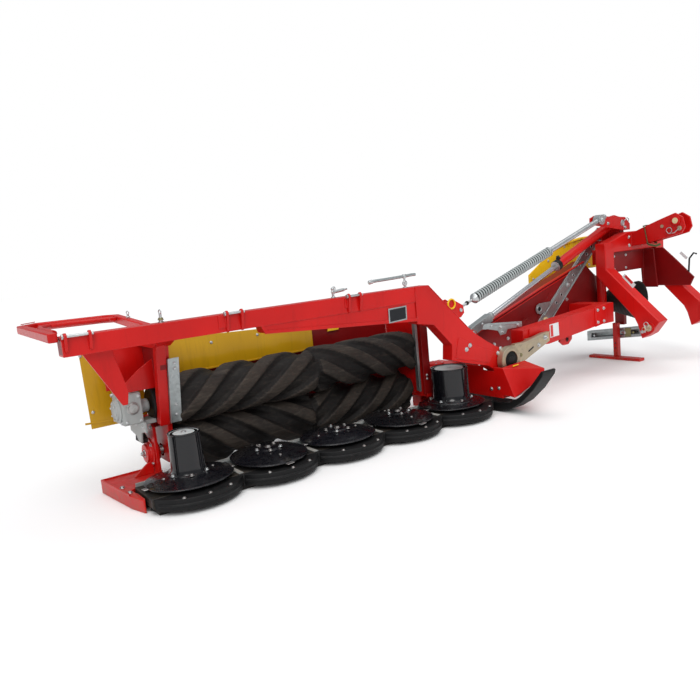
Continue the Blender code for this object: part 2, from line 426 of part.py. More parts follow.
coil = rod("relief_spring", on_spring(0.17), on_spring(0.93), 0.0335, sides=24)
combine("relief_spring", coil, [rod("bore", on_spring(0.10), on_spring(1.0), 0.0200, sides=20)], "DIFFERENCE", mat=ZINC)
sr = rod("spring_rod", on_spring(0.010), on_spring(0.16), 0.008, sides=16)
s1 = rod("s1", on_spring(0.15), on_spring(slen + 0.07), 0.0185, sides=20)
s2 = rod("s2", on_spring(0.135), on_spring(0.1695), 0.010, sides=20, radius2=0.030)
sre = rod("sre", at(SPRING_EYE, -0.012), at(SPRING_EYE, 0.012), 0.018, sides=16)
spin = rod("spin", at(SPRING_EYE, -0.0255), at(SPRING_EYE, 0.0255), 0.0085, sides=12)
combine("spring_rod", sr, [s1, s2, sre, spin], mat=CHROME)
tr = rod("spring_trunnion", at(SPRING_TOP, -0.0265), at(SPRING_TOP, 0.0265), 0.036, sides=24)
combine("spring_trunnion", tr, [rod("bore", on_spring(slen - 0.1), on_spring(slen + 0.1), 0.0200, sides=20)], "DIFFERENCE", mat=ZINC)

# ---------------------------------------------------------------- place the machine and set the moving pieces' origins
AXES = {"roll_upper": (ROLL_X0, *ROLL_UP), "roll_pulley": (0, *ROLL_UP), "roll_lower": (ROLL_X0, *ROLL_LO),
        "cylinder_barrel": at(CYL_TOP, CYL_Y), "cylinder_rod": at(ROD_EYE, CYL_Y),
        "relief_spring": at(SPRING_EYE, SPRING_Y), "spring_rod": at(SPRING_EYE, SPRING_Y),
        "spring_trunnion": at(SPRING_TOP, SPRING_Y),
        "input_shaft": (PTO[0], 0, PTO[1]), "parking_stand": (3.71, STAND_Y, 0)}
for k in range(N_DISCS):
    AXES[f"disc_{k + 1}"] = (PITCH * k, 0, 0)
MOWER = ["cutter_bar", "rock_guards", "outer_shoe", "inner_shoe", "inner_skid", "main_beam", "gooseneck", "spring_bracket", "outer_side",
         "outer_brace", "roll_gearbox", "guard_hoop", "outer_panel", "rear_panel", "rear_hood", "inner_side", "bar_gearcase"]
fold = bpy.data.objects.new("fold_axis", None)
fold.location = Vector((PIVOT[0], 0, PIVOT[1])) + SHIFT
bpy.context.scene.collection.objects.link(fold)
for ob in list(bpy.data.objects):
    if ob.type != "MESH":
        continue
    origin = Vector(AXES.get(ob.name, (0, 0, 0)))
    ob.data.transform(Matrix.Translation(-origin))
    ob.location = origin + SHIFT
    ob.data.shade_smooth()
    ob.data.set_sharp_from_angle(angle=math.radians(30))
bpy.context.view_layer.update()
for name in MOWER:
    ob = bpy.data.objects[name]
    ob.parent = fold
    ob.matrix_parent_inverse = Matrix.Translation(-fold.location)
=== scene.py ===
"""Looks of the parked disc mower: detailed pieces and procedural materials around the fixed CAD frame."""
import json
import math

import bmesh
import bpy
import numpy as np
from mathutils import Matrix, Vector

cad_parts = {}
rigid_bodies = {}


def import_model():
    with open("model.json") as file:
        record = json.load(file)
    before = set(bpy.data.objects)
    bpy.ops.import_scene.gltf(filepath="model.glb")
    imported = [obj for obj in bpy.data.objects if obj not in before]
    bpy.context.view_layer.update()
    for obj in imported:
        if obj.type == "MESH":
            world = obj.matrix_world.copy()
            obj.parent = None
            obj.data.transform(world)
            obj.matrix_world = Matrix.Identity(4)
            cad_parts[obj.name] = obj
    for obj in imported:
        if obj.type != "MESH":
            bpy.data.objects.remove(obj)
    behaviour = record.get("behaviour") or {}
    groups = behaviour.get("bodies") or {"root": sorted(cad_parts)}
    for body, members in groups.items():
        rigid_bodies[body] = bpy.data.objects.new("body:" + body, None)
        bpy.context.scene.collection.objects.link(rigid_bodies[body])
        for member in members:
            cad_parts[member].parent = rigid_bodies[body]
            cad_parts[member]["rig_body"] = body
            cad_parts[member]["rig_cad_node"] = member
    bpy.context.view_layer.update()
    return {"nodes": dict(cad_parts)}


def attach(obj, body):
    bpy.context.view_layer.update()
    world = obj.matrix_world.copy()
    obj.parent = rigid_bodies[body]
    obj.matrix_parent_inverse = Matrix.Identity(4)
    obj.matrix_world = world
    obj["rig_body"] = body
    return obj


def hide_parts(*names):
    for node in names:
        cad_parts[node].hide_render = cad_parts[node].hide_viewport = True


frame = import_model()
SHIFT = Vector((-1.8130, -0.0872, 0.0))   # shapes are drawn in the bar frame of the CAD and moved by this
scene = bpy.context.scene


# ------------------------------------------------------------------ materials
def new_mat(name):
    m = bpy.data.materials.new(name)
    m.use_nodes = True
    nt = m.node_tree
    b = nt.nodes["Principled BSDF"]
    return m, nt, b


def node(nt, kind, **inputs):
    n = nt.nodes.new(kind)
    for k, v in inputs.items():
        k = k.replace("_", " ")
        if k in n.inputs:
            n.inputs[k].default_value = v
    return n


def mix_color(nt, fac, a, b, blend="MIX"):
    n = nt.nodes.new("ShaderNodeMix")
    n.data_type = "RGBA"
    n.blend_type = blend
    for sock, val in ((n.inputs[0], fac), (n.inputs[6], a), (n.inputs[7], b)):
        if isinstance(val, bpy.types.NodeSocket):
            nt.links.new(val, sock)
        elif isinstance(val, (int, float)):
            sock.default_value = val
        else:
            sock.default_value = (*val[:3], 1)
    return n.outputs[2]


def math_node(nt, op, a, b=0.0, clamp=False):
    n = nt.nodes.new("ShaderNodeMath")
    n.operation = op
    n.use_clamp = clamp
    for sock, val in ((n.inputs[0], a), (n.inputs[1], b)):
        if isinstance(val, bpy.types.NodeSocket):
            nt.links.new(val, sock)
        else:
            sock.default_value = val
    return n.outputs[0]


def remap(nt, val, a, b, c=0.0, d=1.0):
    n = nt.nodes.new("ShaderNodeMapRange")
    n.clamp = True
    nt.links.new(val, n.inputs[0])
    for i, v in zip((1, 2, 3, 4), (a, b, c, d)):
        n.inputs[i].default_value = v
    return n.outputs[0]


def noise(nt, coord, scale, detail=4.0, rough=0.55, distort=0.0, stretch=None):
    n = nt.nodes.new("ShaderNodeTexNoise")
    n.inputs["Scale"].default_value = scale
    n.inputs["Detail"].default_value = detail
    n.inputs["Roughness"].default_value = rough
    n.inputs["Distortion"].default_value = distort
    if stretch:
        mp = nt.nodes.new("ShaderNodeMapping")
        mp.inputs["Scale"].default_value = stretch
        nt.links.new(coord, mp.inputs["Vector"])
        coord = mp.outputs["Vector"]
    nt.links.new(coord, n.inputs["Vector"])
    return n.outputs["Fac"]


def edge_mask(nt, radius=0.004, lo=0.02, hi=0.25):
    bev = nt.nodes.new("ShaderNodeBevel")
    bev.samples = 4
    bev.inputs["Radius"].default_value = radius
    geo = nt.nodes.new("ShaderNodeNewGeometry")
    dot = nt.nodes.new("ShaderNodeVectorMath")
    dot.operation = "DOT_PRODUCT"
    nt.links.new(bev.outputs[0], dot.inputs[0])
    nt.links.new(geo.outputs["Normal"], dot.inputs[1])
    inv = math_node(nt, "SUBTRACT", 1.0, dot.outputs["Value"])
    return remap(nt, inv, lo, hi), bev


def painted(name, col, fade, rough=0.30, wear=0.5, dust=0.30, grime=(0.05, 0.035, 0.025), coat=0.25, chip=(0.30, 0.26, 0.24), dustcol=(0.42, 0.36, 0.28), zlow=0.12, zdirt=0.5):
    m, nt, b = new_mat(name)
    tc = nt.nodes.new("ShaderNodeTexCoord")
    co = tc.outputs["Object"]
    big = noise(nt, co, 2.3, 3)
    fine = noise(nt, co, 38, 6, 0.7)
    speck = noise(nt, co, 190, 3, 0.6)
    c = mix_color(nt, remap(nt, big, 0.35, 0.68), col, fade)
    # rain streaks and handling grime
    streak = noise(nt, co, 9, 5, 0.7, 0.3, stretch=(3.0, 3.0, 0.35))
    c = mix_color(nt, math_node(nt, "MULTIPLY", remap(nt, streak, 0.54, 0.80), 0.40), c, [x * 0.45 for x in col])
    # settled dust on upward faces
    geo = nt.nodes.new("ShaderNodeNewGeometry")
    sep = nt.nodes.new("ShaderNodeSeparateXYZ")
    nt.links.new(geo.outputs["Normal"], sep.inputs[0])
    up = remap(nt, sep.outputs["Z"], 0.35, 0.95)
    dustm = math_node(nt, "MULTIPLY", up, remap(nt, fine, 0.38, 0.72), True)
    c = mix_color(nt, math_node(nt, "MULTIPLY", dustm, dust), c, dustcol)
    # soil thrown up near the ground
    sp = nt.nodes.new("ShaderNodeSeparateXYZ")
    nt.links.new(geo.outputs["Position"], sp.inputs[0])
    lowm = remap(nt, sp.outputs["Z"], 0.0, zlow, 1.0, 0.0)
    soil = math_node(nt, "MULTIPLY", lowm, remap(nt, noise(nt, co, 22, 6, 0.75), 0.42, 0.66))
    c = mix_color(nt, math_node(nt, "MULTIPLY", soil, zdirt), c, (0.16, 0.115, 0.07))
    # chips along edges
    edge, bev = edge_mask(nt)
    wearn = remap(nt, noise(nt, co, 55, 5, 0.75), 0.50, 0.62)
    chipm = math_node(nt, "MULTIPLY", math_node(nt, "MULTIPLY", edge, wearn), wear, True)
    c = mix_color(nt, chipm, c, chip)
    # painted highlight: every edge is lightened towards a brighter copy of the paint colour
    painted_edge_highlight = math_node(nt, "MULTIPLY", edge, 0.28)
    c = mix_color(nt, painted_edge_highlight, c, [min(1, x * 1.25 + 0.05) for x in col])
    # little scratches and chips in the open face
    spots = math_node(nt, "MULTIPLY", remap(nt, speck, 0.70, 0.74), remap(nt, big, 0.5, 0.6))
    c = mix_color(nt, math_node(nt, "MULTIPLY", spots, 0.5 * wear), c, grime)
    nt.links.new(c, b.inputs["Base Color"])
    r = math_node(nt, "ADD", rough, math_node(nt, "MULTIPLY", fine, 0.22))
    r = math_node(nt, "ADD", r, math_node(nt, "MULTIPLY", dustm, 0.25), True)
    nt.links.new(r, b.inputs["Roughness"])
    b.inputs["Coat Weight"].default_value = coat
    b.inputs["Coat Roughness"].default_value = 0.10
    b.inputs["Specular IOR Level"].default_value = 0.25
    bump = node(nt, "ShaderNodeBump", Strength=0.16, Distance=0.0006)
    nt.links.new(noise(nt, co, 320, 3, 0.5), bump.inputs["Height"])
    bump2 = node(nt, "ShaderNodeBump", Strength=0.10, Distance=0.004)
    nt.links.new(noise(nt, co, 14, 2, 0.5), bump2.inputs["Height"])
    nt.links.new(bev.outputs[0], bump2.inputs["Normal"])
    nt.links.new(bump2.outputs[0], bump.inputs["Normal"])
    nt.links.new(bump.outputs[0], b.inputs["Normal"])
    return m


def metal(name, col, col2, rough=0.32, spangle=0.0, grain=0.0, dirt=0.35, metallic=1.0, streaky=(1, 1, 1), rust=0.0):
    m, nt, b = new_mat(name)
    tc = nt.nodes.new("ShaderNodeTexCoord")
    co = tc.outputs["Object"]
    n1 = noise(nt, co, 7, 5, 0.65, 0.4)
    c = mix_color(nt, remap(nt, n1, 0.35, 0.65), col, col2)
    if spangle:
        v = nt.nodes.new("ShaderNodeTexVoronoi")
        v.inputs["Scale"].default_value = 70
        nt.links.new(co, v.inputs["Vector"])
        bw = nt.nodes.new("ShaderNodeRGBToBW")
        nt.links.new(v.outputs["Color"], bw.inputs[0])
        c = mix_color(nt, math_node(nt, "MULTIPLY", bw.outputs[0], spangle), c, [x * 1.35 for x in col])
    g = noise(nt, co, 90, 3, 0.6, 0, stretch=streaky)
    fine = noise(nt, co, 30, 6, 0.75)
    c = mix_color(nt, math_node(nt, "MULTIPLY", remap(nt, fine, 0.52, 0.75), dirt), c, (0.10, 0.085, 0.07))
    if rust:
        rn = noise(nt, co, 16, 6, 0.8)
        c = mix_color(nt, math_node(nt, "MULTIPLY", remap(nt, rn, 0.55, 0.70), rust), c, (0.20, 0.075, 0.03))
    nt.links.new(c, b.inputs["Base Color"])
    b.inputs["Metallic"].default_value = metallic
    r = math_node(nt, "ADD", rough, math_node(nt, "MULTIPLY", fine, 0.25), True)
    nt.links.new(r, b.inputs["Roughness"])
    bump = node(nt, "ShaderNodeBump", Strength=0.12 + grain, Distance=0.0008)
    nt.links.new(g, bump.inputs["Height"])
    _, bev = edge_mask(nt, 0.002)
    nt.links.new(bev.outputs[0], bump.inputs["Normal"])
    nt.links.new(bump.outputs[0], b.inputs["Normal"])
    return m


def rubber(name, col, col2, dust=0.4):
    m, nt, b = new_mat(name)
    b.inputs["Specular IOR Level"].default_value = 0.22
    tc = nt.nodes.new("ShaderNodeTexCoord")
    co = tc.outputs["Object"]
    n1 = noise(nt, co, 5, 6, 0.7, 0.5)
    n2 = noise(nt, co, 26, 7, 0.8)
    c = mix_color(nt, remap(nt, n1, 0.35, 0.65), col, col2)
    scuff = noise(nt, co, 18, 6, 0.8, 0.6, stretch=(0.6, 2.2, 2.2))
    c = mix_color(nt, math_node(nt, "MULTIPLY", remap(nt, scuff, 0.50, 0.72), dust), c, (0.115, 0.095, 0.075))
    c = mix_color(nt, math_node(nt, "MULTIPLY", remap(nt, n2, 0.60, 0.72), 0.5), c, (0.010, 0.010, 0.010))
    edge, bev = edge_mask(nt, 0.005)
    c = mix_color(nt, math_node(nt, "MULTIPLY", edge, 0.30), c, (0.16, 0.135, 0.11))
    nt.links.new(c, b.inputs["Base Color"])
    r = math_node(nt, "ADD", 0.48, math_node(nt, "MULTIPLY", n2, 0.35), True)
    nt.links.new(r, b.inputs["Roughness"])
    bump = node(nt, "ShaderNodeBump", Strength=0.35, Distance=0.0016)
    nt.links.new(noise(nt, co, 120, 6, 0.7), bump.inputs["Height"])
    bump2 = node(nt, "ShaderNodeBump", Strength=0.4, Distance=0.004)
    nt.links.new(n2, bump2.inputs["Height"])
    nt.links.new(bev.outputs[0], bump2.inputs["Normal"])
    nt.links.new(bump2.outputs[0], bump.inputs["Normal"])
    nt.links.new(bump.outputs[0], b.inputs["Normal"])
    return m


RED = painted("red_enamel", (0.60, 0.0050, 0.0035), (0.46, 0.0035, 0.0030), 0.24, 0.55, 0.06, coat=0.10)
# darker copy of the red enamel: painted shade for red parts that sit in shadow
RED_SHADE = painted("red_enamel_shaded", (0.24, 0.0035, 0.0040), (0.14, 0.0025, 0.0028), 0.32, 0.4, 0.08, coat=0.06)
YEL = painted("yellow_enamel", (0.60, 0.335, 0.002), (0.50, 0.27, 0.002), 0.36, 0.3, 0.15, chip=(0.25, 0.2, 0.12))
YELB = painted("yellow_enamel_bright", (0.88, 0.56, 0.010), (0.80, 0.48, 0.006), 0.32, 0.3, 0.12)
BLK = painted("black_enamel", (0.0025, 0.0025, 0.0038), (0.005, 0.005, 0.008), 0.10, 0.25, 0.05, (0.03, 0.028, 0.026), 0.5, (0.16, 0.155, 0.155), (0.08, 0.075, 0.07), 0.05, 0.05)
BLKM = painted("black_satin", (0.0045, 0.0045, 0.005), (0.009, 0.009, 0.010), 0.34, 0.4, 0.08, (0.10, 0.08, 0.06), 0.0, (0.22, 0.20, 0.20), (0.16, 0.14, 0.12))
CASTM = painted("grey_enamel", (0.40, 0.42, 0.41), (0.32, 0.335, 0.33), 0.38, 0.4, 0.20, (0.08, 0.07, 0.06), 0.1, (0.20, 0.17, 0.15))
BARG = painted("bar_grey", (0.30, 0.31, 0.305), (0.22, 0.225, 0.22), 0.40, 0.5, 0.5, (0.08, 0.06, 0.05), 0.05, (0.13, 0.11, 0.10))
GALV = metal("galvanized", (0.42, 0.45, 0.45), (0.33, 0.36, 0.365), 0.36, 0.5, 0.0, 0.25)
ZINC = metal("zinc_bright", (0.62, 0.64, 0.64), (0.50, 0.52, 0.53), 0.26, 0.0, 0.05, 0.25)
TAN = metal("zinc_yellow", (0.52, 0.42, 0.28), (0.42, 0.36, 0.28), 0.34, 0.0, 0.05, 0.35, 0.85)
OLIVE = metal("zinc_olive", (0.30, 0.27, 0.12), (0.22, 0.21, 0.12), 0.34, 0.0, 0.05, 0.35, 0.8)
CHR = metal("chromed", (0.80, 0.81, 0.83), (0.72, 0.73, 0.75), 0.08, 0.0, 0.0, 0.10)
STEEL = metal("worn_steel", (0.48, 0.47, 0.46), (0.36, 0.34, 0.33), 0.30, 0.0, 0.25, 0.5, rust=0.25)
COILM = painted("coil_grey", (0.46, 0.50, 0.50), (0.33, 0.36, 0.36), 0.30, 0.5, 0.1, coat=0.0)
# drum caps: light grey paint, partly their own dust and partly a painted reflection of the bright sky on the metal
CAP_DUST_AND_SHEEN = painted("drum_cap_dust_and_painted_sheen", (0.52, 0.57, 0.57), (0.42, 0.46, 0.46), 0.45, 0.2, 0.1, coat=0.0)
BLKG = painted("black_guard", (0.0022, 0.0022, 0.0026), (0.0045, 0.0045, 0.0050), 0.42, 0.5, 0.05, (0.05, 0.045, 0.04), 0.0, (0.30, 0.29, 0.29), (0.08, 0.075, 0.07), 0.03, 0.10)
RUB = rubber("roll_rubber", (0.0065, 0.0058, 0.0058), (0.013, 0.011, 0.010), 0.22)
RUBT = rubber("roll_lug_tops", (0.020, 0.0165, 0.0145), (0.040, 0.031, 0.025), 0.50)
RUBB = rubber("black_rubber_clean", (0.012, 0.012, 0.012), (0.020, 0.019, 0.018), 0.15)
CREAM = painted("cream_nylon", (0.72, 0.60, 0.34), (0.62, 0.50, 0.28), 0.40, 0.1, 0.1)
WHITE = painted("label_white", (0.75, 0.76, 0.76), (0.66, 0.67, 0.68), 0.35, 0.1, 0.08)
PLATE = painted("plate_dark", (0.010, 0.011, 0.014), (0.018, 0.019, 0.022), 0.45, 0.1, 0.03, coat=0.0)
GREEN = painted("strap_green", (0.09, 0.13, 0.055), (0.13, 0.17, 0.08), 0.75, 0.1, 0.2, coat=0.0)
LABELR = painted("label_red", (0.62, 0.03, 0.03), (0.55, 0.02, 0.02), 0.35, 0.1, 0.05)


# ------------------------------------------------------------------ mesh building
class Piece:
    """Several shapes gathered into one mesh with a few materials, riding on one body."""

    def __init__(self, name, body, slot, bevel=0.0015, smooth=35):
        self.name, self.body, self.slot, self.bevel, self.smooth = name, body, slot, bevel, smooth
        self.v, self.f, self.m, self.mats = [], [], [], []

    def add(self, verts, faces, mat):
        if mat not in self.mats:
            self.mats.append(mat)
        k, mi = len(self.v), self.mats.index(mat)
        self.v += [tuple(p) for p in verts]
        self.f += [[i + k for i in f] for f in faces]
        self.m += [mi] * len(faces)
        return self

    def prism(self, outline, axis, lo, hi, mat):
        def put(a, b, c):
            return {"Y": (a, c, b), "X": (c, a, b), "Z": (a, b, c)}[axis]
        n = len(outline)
        area = sum(outline[i][0] * outline[(i + 1) % n][1] - outline[(i + 1) % n][0] * outline[i][1] for i in range(n))
        if area < 0:
            outline = outline[::-1]
        vs = [put(a, b, lo) for a, b in outline] + [put(a, b, hi) for a, b in outline]
        fs = [list(range(n))[::-1], [i + n for i in range(n)]] + [[i, (i + 1) % n, (i + 1) % n + n, i + n] for i in range(n)]
        if axis == "Y":
            fs = [f[::-1] for f in fs]
        return self.add(vs, fs, mat)

    def block(self, x0, x1, y0, y1, z0, z1, mat):
        return self.prism([(x0, y0), (x1, y0), (x1, y1), (x0, y1)], "Z", z0, z1, mat)

    def lathe(self, profile, a, d, mat, sides=24):
        """(radius, distance) points turned about the line from a in direction d."""
        a, d = Vector(a), Vector(d).normalized()
        u = d.orthogonal().normalized()
        w = d.cross(u)
        vs, fs = [], []
        for r, t in profile:
            vs += [a + d * t + (u * math.cos(2 * math.pi * k / sides) + w * math.sin(2 * math.pi * k / sides)) * r for k in range(sides)]
        for i in range(len(profile) - 1):
            for k in range(sides):
                k2 = (k + 1) % sides
                fs.append([i * sides + k, i * sides + k2, (i + 1) * sides + k2, (i + 1) * sides + k])
        if profile[0][0] > 1e-9:
            fs.append([k for k in range(sides)][::-1])
        if profile[-1][0] > 1e-9:
            fs.append([(len(profile) - 1) * sides + k for k in range(sides)])
        return self.add(vs, fs, mat)

    def rod(self, a, b, r, mat, sides=16, r2=None, chamfer=0.0):
        a, b = Vector(a), Vector(b)
        L = (b - a).length
        r2 = r if r2 is None else r2
        if chamfer:
            return self.lathe([(max(r - chamfer, 1e-4), 0), (r, chamfer), (r2, L - chamfer), (max(r2 - chamfer, 1e-4), L)], a, b - a, mat, sides)
        return self.lathe([(r, 0), (r2, L)], a, b - a, mat, sides)

    def bolt(self, c, d, r, mat=None, h=None, washer=True, stud=0.0):
        """A hexagon head or nut on a washer; c is on the surface and d points out of it."""
        mat = mat or ZINC
        c, d = Vector(c), Vector(d).normalized()
        h = h or r * 0.75
        t0 = 0.0
        if washer:
            self.lathe([(r * 1.32, 0), (r * 1.32, r * 0.18), (r * 1.22, r * 0.24)], c, d, mat, 18)
            t0 = r * 0.2
        self.lathe([(r, t0), (r, t0 + h * 0.8), (r * 0.86, t0 + h)], c, d, mat, 6)
        if stud:
            self.rod(c + d * (t0 + h * 0.9), c + d * (t0 + h + stud), r * 0.52, mat, 12, chamfer=r * 0.08)
        return self

    def bar(self, a, b, width, height, mat, up=(0, 0, 1)):
        a, b, up = Vector(a), Vector(b), Vector(up)
        al = (b - a).normalized()
        side = al.cross(up).normalized()
        top = side.cross(al).normalized()
        vs = []
        for p in (a, b):
            vs += [p + side * width / 2 * s + top * height / 2 * t for s, t in ((-1, -1), (1, -1), (1, 1), (-1, 1))]
        fs = [[0, 3, 2, 1], [4, 5, 6, 7]] + [[i, (i + 1) % 4, (i + 1) % 4 + 4, i + 4] for i in range(4)]
        return self.add(vs, fs, mat)

    def tube(self, pts, r, mat, sides=10, closed=False, flat=None):
        """A round tube through points, or a flat strap with flat=(half width, half thickness)."""
        P = [Vector(p) for p in pts]
        n = len(P)
        tang = []
        for i in range(n):
            a = P[(i - 1) % n] if (closed or i) else P[0]
            b = P[(i + 1) % n] if (closed or i < n - 1) else P[-1]
            tang.append((b - a).normalized())
        u = tang[0].orthogonal().normalized()
        vs, fs = [], []
        for i in range(n):
            u = (u - tang[i] * u.dot(tang[i])).normalized()
            w = tang[i].cross(u)
            if flat:
                ring = [P[i] + u * flat[0] * s + w * flat[1] * t for s, t in ((-1, -1), (1, -1), (1, 1), (-1, 1))]
            else:
                ring = [P[i] + (u * math.cos(2 * math.pi * k / sides) + w * math.sin(2 * math.pi * k / sides)) * r for k in range(sides)]
            vs += ring
        s = 4 if flat else sides
        for i in range(n if closed else n - 1):
            j = (i + 1) % n
            off = 0
            if closed and j == 0:
                d = [(Vector(vs[i * s]) - Vector(vs[k])).length for k in range(s)]
                off = int(np.argmin(d))
            for k in range(s):
                fs.append([i * s + k, i * s + (k + 1) % s, j * s + (k + 1 + off) % s, j * s + (k + off) % s])
        if not closed:
            fs.append([k for k in range(s)][::-1])
            fs.append([(n - 1) * s + k for k in range(s)])
        return self.add(vs, fs, mat)

    def ring(self, c, d, R, r, mat, seg=28, sides=10):
        c, d = Vector(c), Vector(d).normalized()
        u = d.orthogonal().normalized()
        w = d.cross(u)
        return self.tube([c + (u * math.cos(2 * math.pi * k / seg) + w * math.sin(2 * math.pi * k / seg)) * R for k in range(seg)], r, mat, sides, closed=True)

    def weld(self, a, b, r, mat, seed=0):
        """A rippled fillet bead from a to b."""
        a, b = Vector(a), Vector(b)
        n = max(6, int((b - a).length / 0.006))
        pts = [a.lerp(b, i / n) for i in range(n + 1)]
        k0 = len(self.v)
        self.tube(pts, r, mat, 6)
        for i in range(n + 1):
            s = 1.0 + (0.22 if i % 2 else -0.08)
            for j in range(6):
                v = Vector(self.v[k0 + i * 6 + j])
                self.v[k0 + i * 6 + j] = tuple(pts[i] + (v - pts[i]) * s)
        return self

    def done(self, replaces=()):
        me = bpy.data.meshes.new(self.name)
        me.from_pydata([Vector(p) + SHIFT for p in self.v], [], self.f)
        for m in self.mats:
            me.materials.append(m)
        me.polygons.foreach_set("material_index", self.m)
        me.update()
        ob = bpy.data.objects.new(self.name, me)
        scene.collection.objects.link(ob)
        bm = bmesh.new()
        bm.from_mesh(me)
        bmesh.ops.recalc_face_normals(bm, faces=bm.faces)
        bm.to_mesh(me)
        bm.free()
        me.shade_smooth()
        me.set_sharp_from_angle(angle=math.radians(self.smooth))
        if self.bevel:
            md = ob.modifiers.new("edges", "BEVEL")
            md.width = self.bevel
            md.segments = 2
            md.limit_method = "ANGLE"
            md.angle_limit = math.radians(40)
            md.use_clamp_overlap = True
            md.harden_normals = False
        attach(ob, self.body)
        for n in replaces:
            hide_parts(n)
        return ob


def refine(name, mat, width=0.003, segs=2):
    """The CAD node's own shape with rounded edges, in place of the faceted node."""
    src = frame["nodes"][name]
    me = src.data.copy()
    me.name = name + "_body"
    ob = bpy.data.objects.new(name + "_body", me)
    scene.collection.objects.link(ob)
    bm = bmesh.new()
    bm.from_mesh(me)
    bmesh.ops.remove_doubles(bm, verts=bm.verts, dist=1e-5)
    bmesh.ops.dissolve_limit(bm, angle_limit=math.radians(0.6), verts=bm.verts, edges=bm.edges)
    bm.to_mesh(me)
    bm.free()
    me.materials.clear()
    me.materials.append(mat)
    me.polygons.foreach_set("material_index", [0] * len(me.polygons))
    for a in ("custom_normal",):
        if a in me.attributes:
            me.attributes.remove(me.attributes[a])
    me.shade_smooth()
    me.set_sharp_from_angle(angle=math.radians(32))
    md = ob.modifiers.new("edges", "BEVEL")
    md.width = width
    md.segments = segs
    md.limit_method = "ANGLE"
    md.angle_limit = math.radians(32)
    md.use_clamp_overlap = True
    for key in ("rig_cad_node",):
        if key in ob:
            del ob[key]
    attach(ob, src["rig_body"])
    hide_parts(name)
    return ob


# back panel, PTO gearbox, stand column, lift arm and rear hood get the darker red copy, as painted shade
BODY_MATS = {
    "headstock": (RED, 0.006), "back_panel": (RED_SHADE, 0.002), "toplink_bracket": (RED, 0.003), "mast": (RED, 0.003), "pto_gearbox": (RED_SHADE, 0.010),
    "stand_column": (RED_SHADE, 0.004), "stand_bracket": (GALV, 0.003), "lift_arm": (RED_SHADE, 0.004), "front_beam": (RED, 0.004), "eye_arm": (TAN, 0.002),
    "pivot_pin": (BLKM, 0.003), "link_lever": (GALV, 0.001), "height_strut": (GALV, 0.0015), "rear_guard": (YELB, 0.002),
    "cutter_bar": (BLKM, 0.004), "rock_guards": (BLKG, 0.003), "outer_shoe": (RED, 0.003), "inner_shoe": (RED, 0.004), "inner_skid": (BLKG, 0.003),
    "main_beam": (RED, 0.006), "gooseneck": (RED, 0.005), "spring_bracket": (RED, 0.002), "outer_side": (RED, 0.003), "outer_brace": (RED, 0.002),
    "roll_gearbox": (CASTM, 0.008), "guard_hoop": (RED, 0.005), "outer_panel": (YEL, 0.0015), "rear_panel": (YEL, 0.0015), "rear_hood": (RED_SHADE, 0.002),
    "inner_side": (RED, 0.003), "bar_gearcase": (RED, 0.006), "roll_pulley": (BLKM, 0.003), "parking_stand": (RED, 0.003),
    "cylinder_barrel": (RED, 0.002), "spring_trunnion": (ZINC, 0.002), "input_shaft": (STEEL, 0.001),
}
for n, (mt, w) in BODY_MATS.items():
    refine(n, mt, w)

X, Y, Z = Vector((1, 0, 0)), Vector((0, 1, 0)), Vector((0, 0, 1))
PITCH, DISC_Z, DRUM_TOP = 0.42, 0.088, 0.313

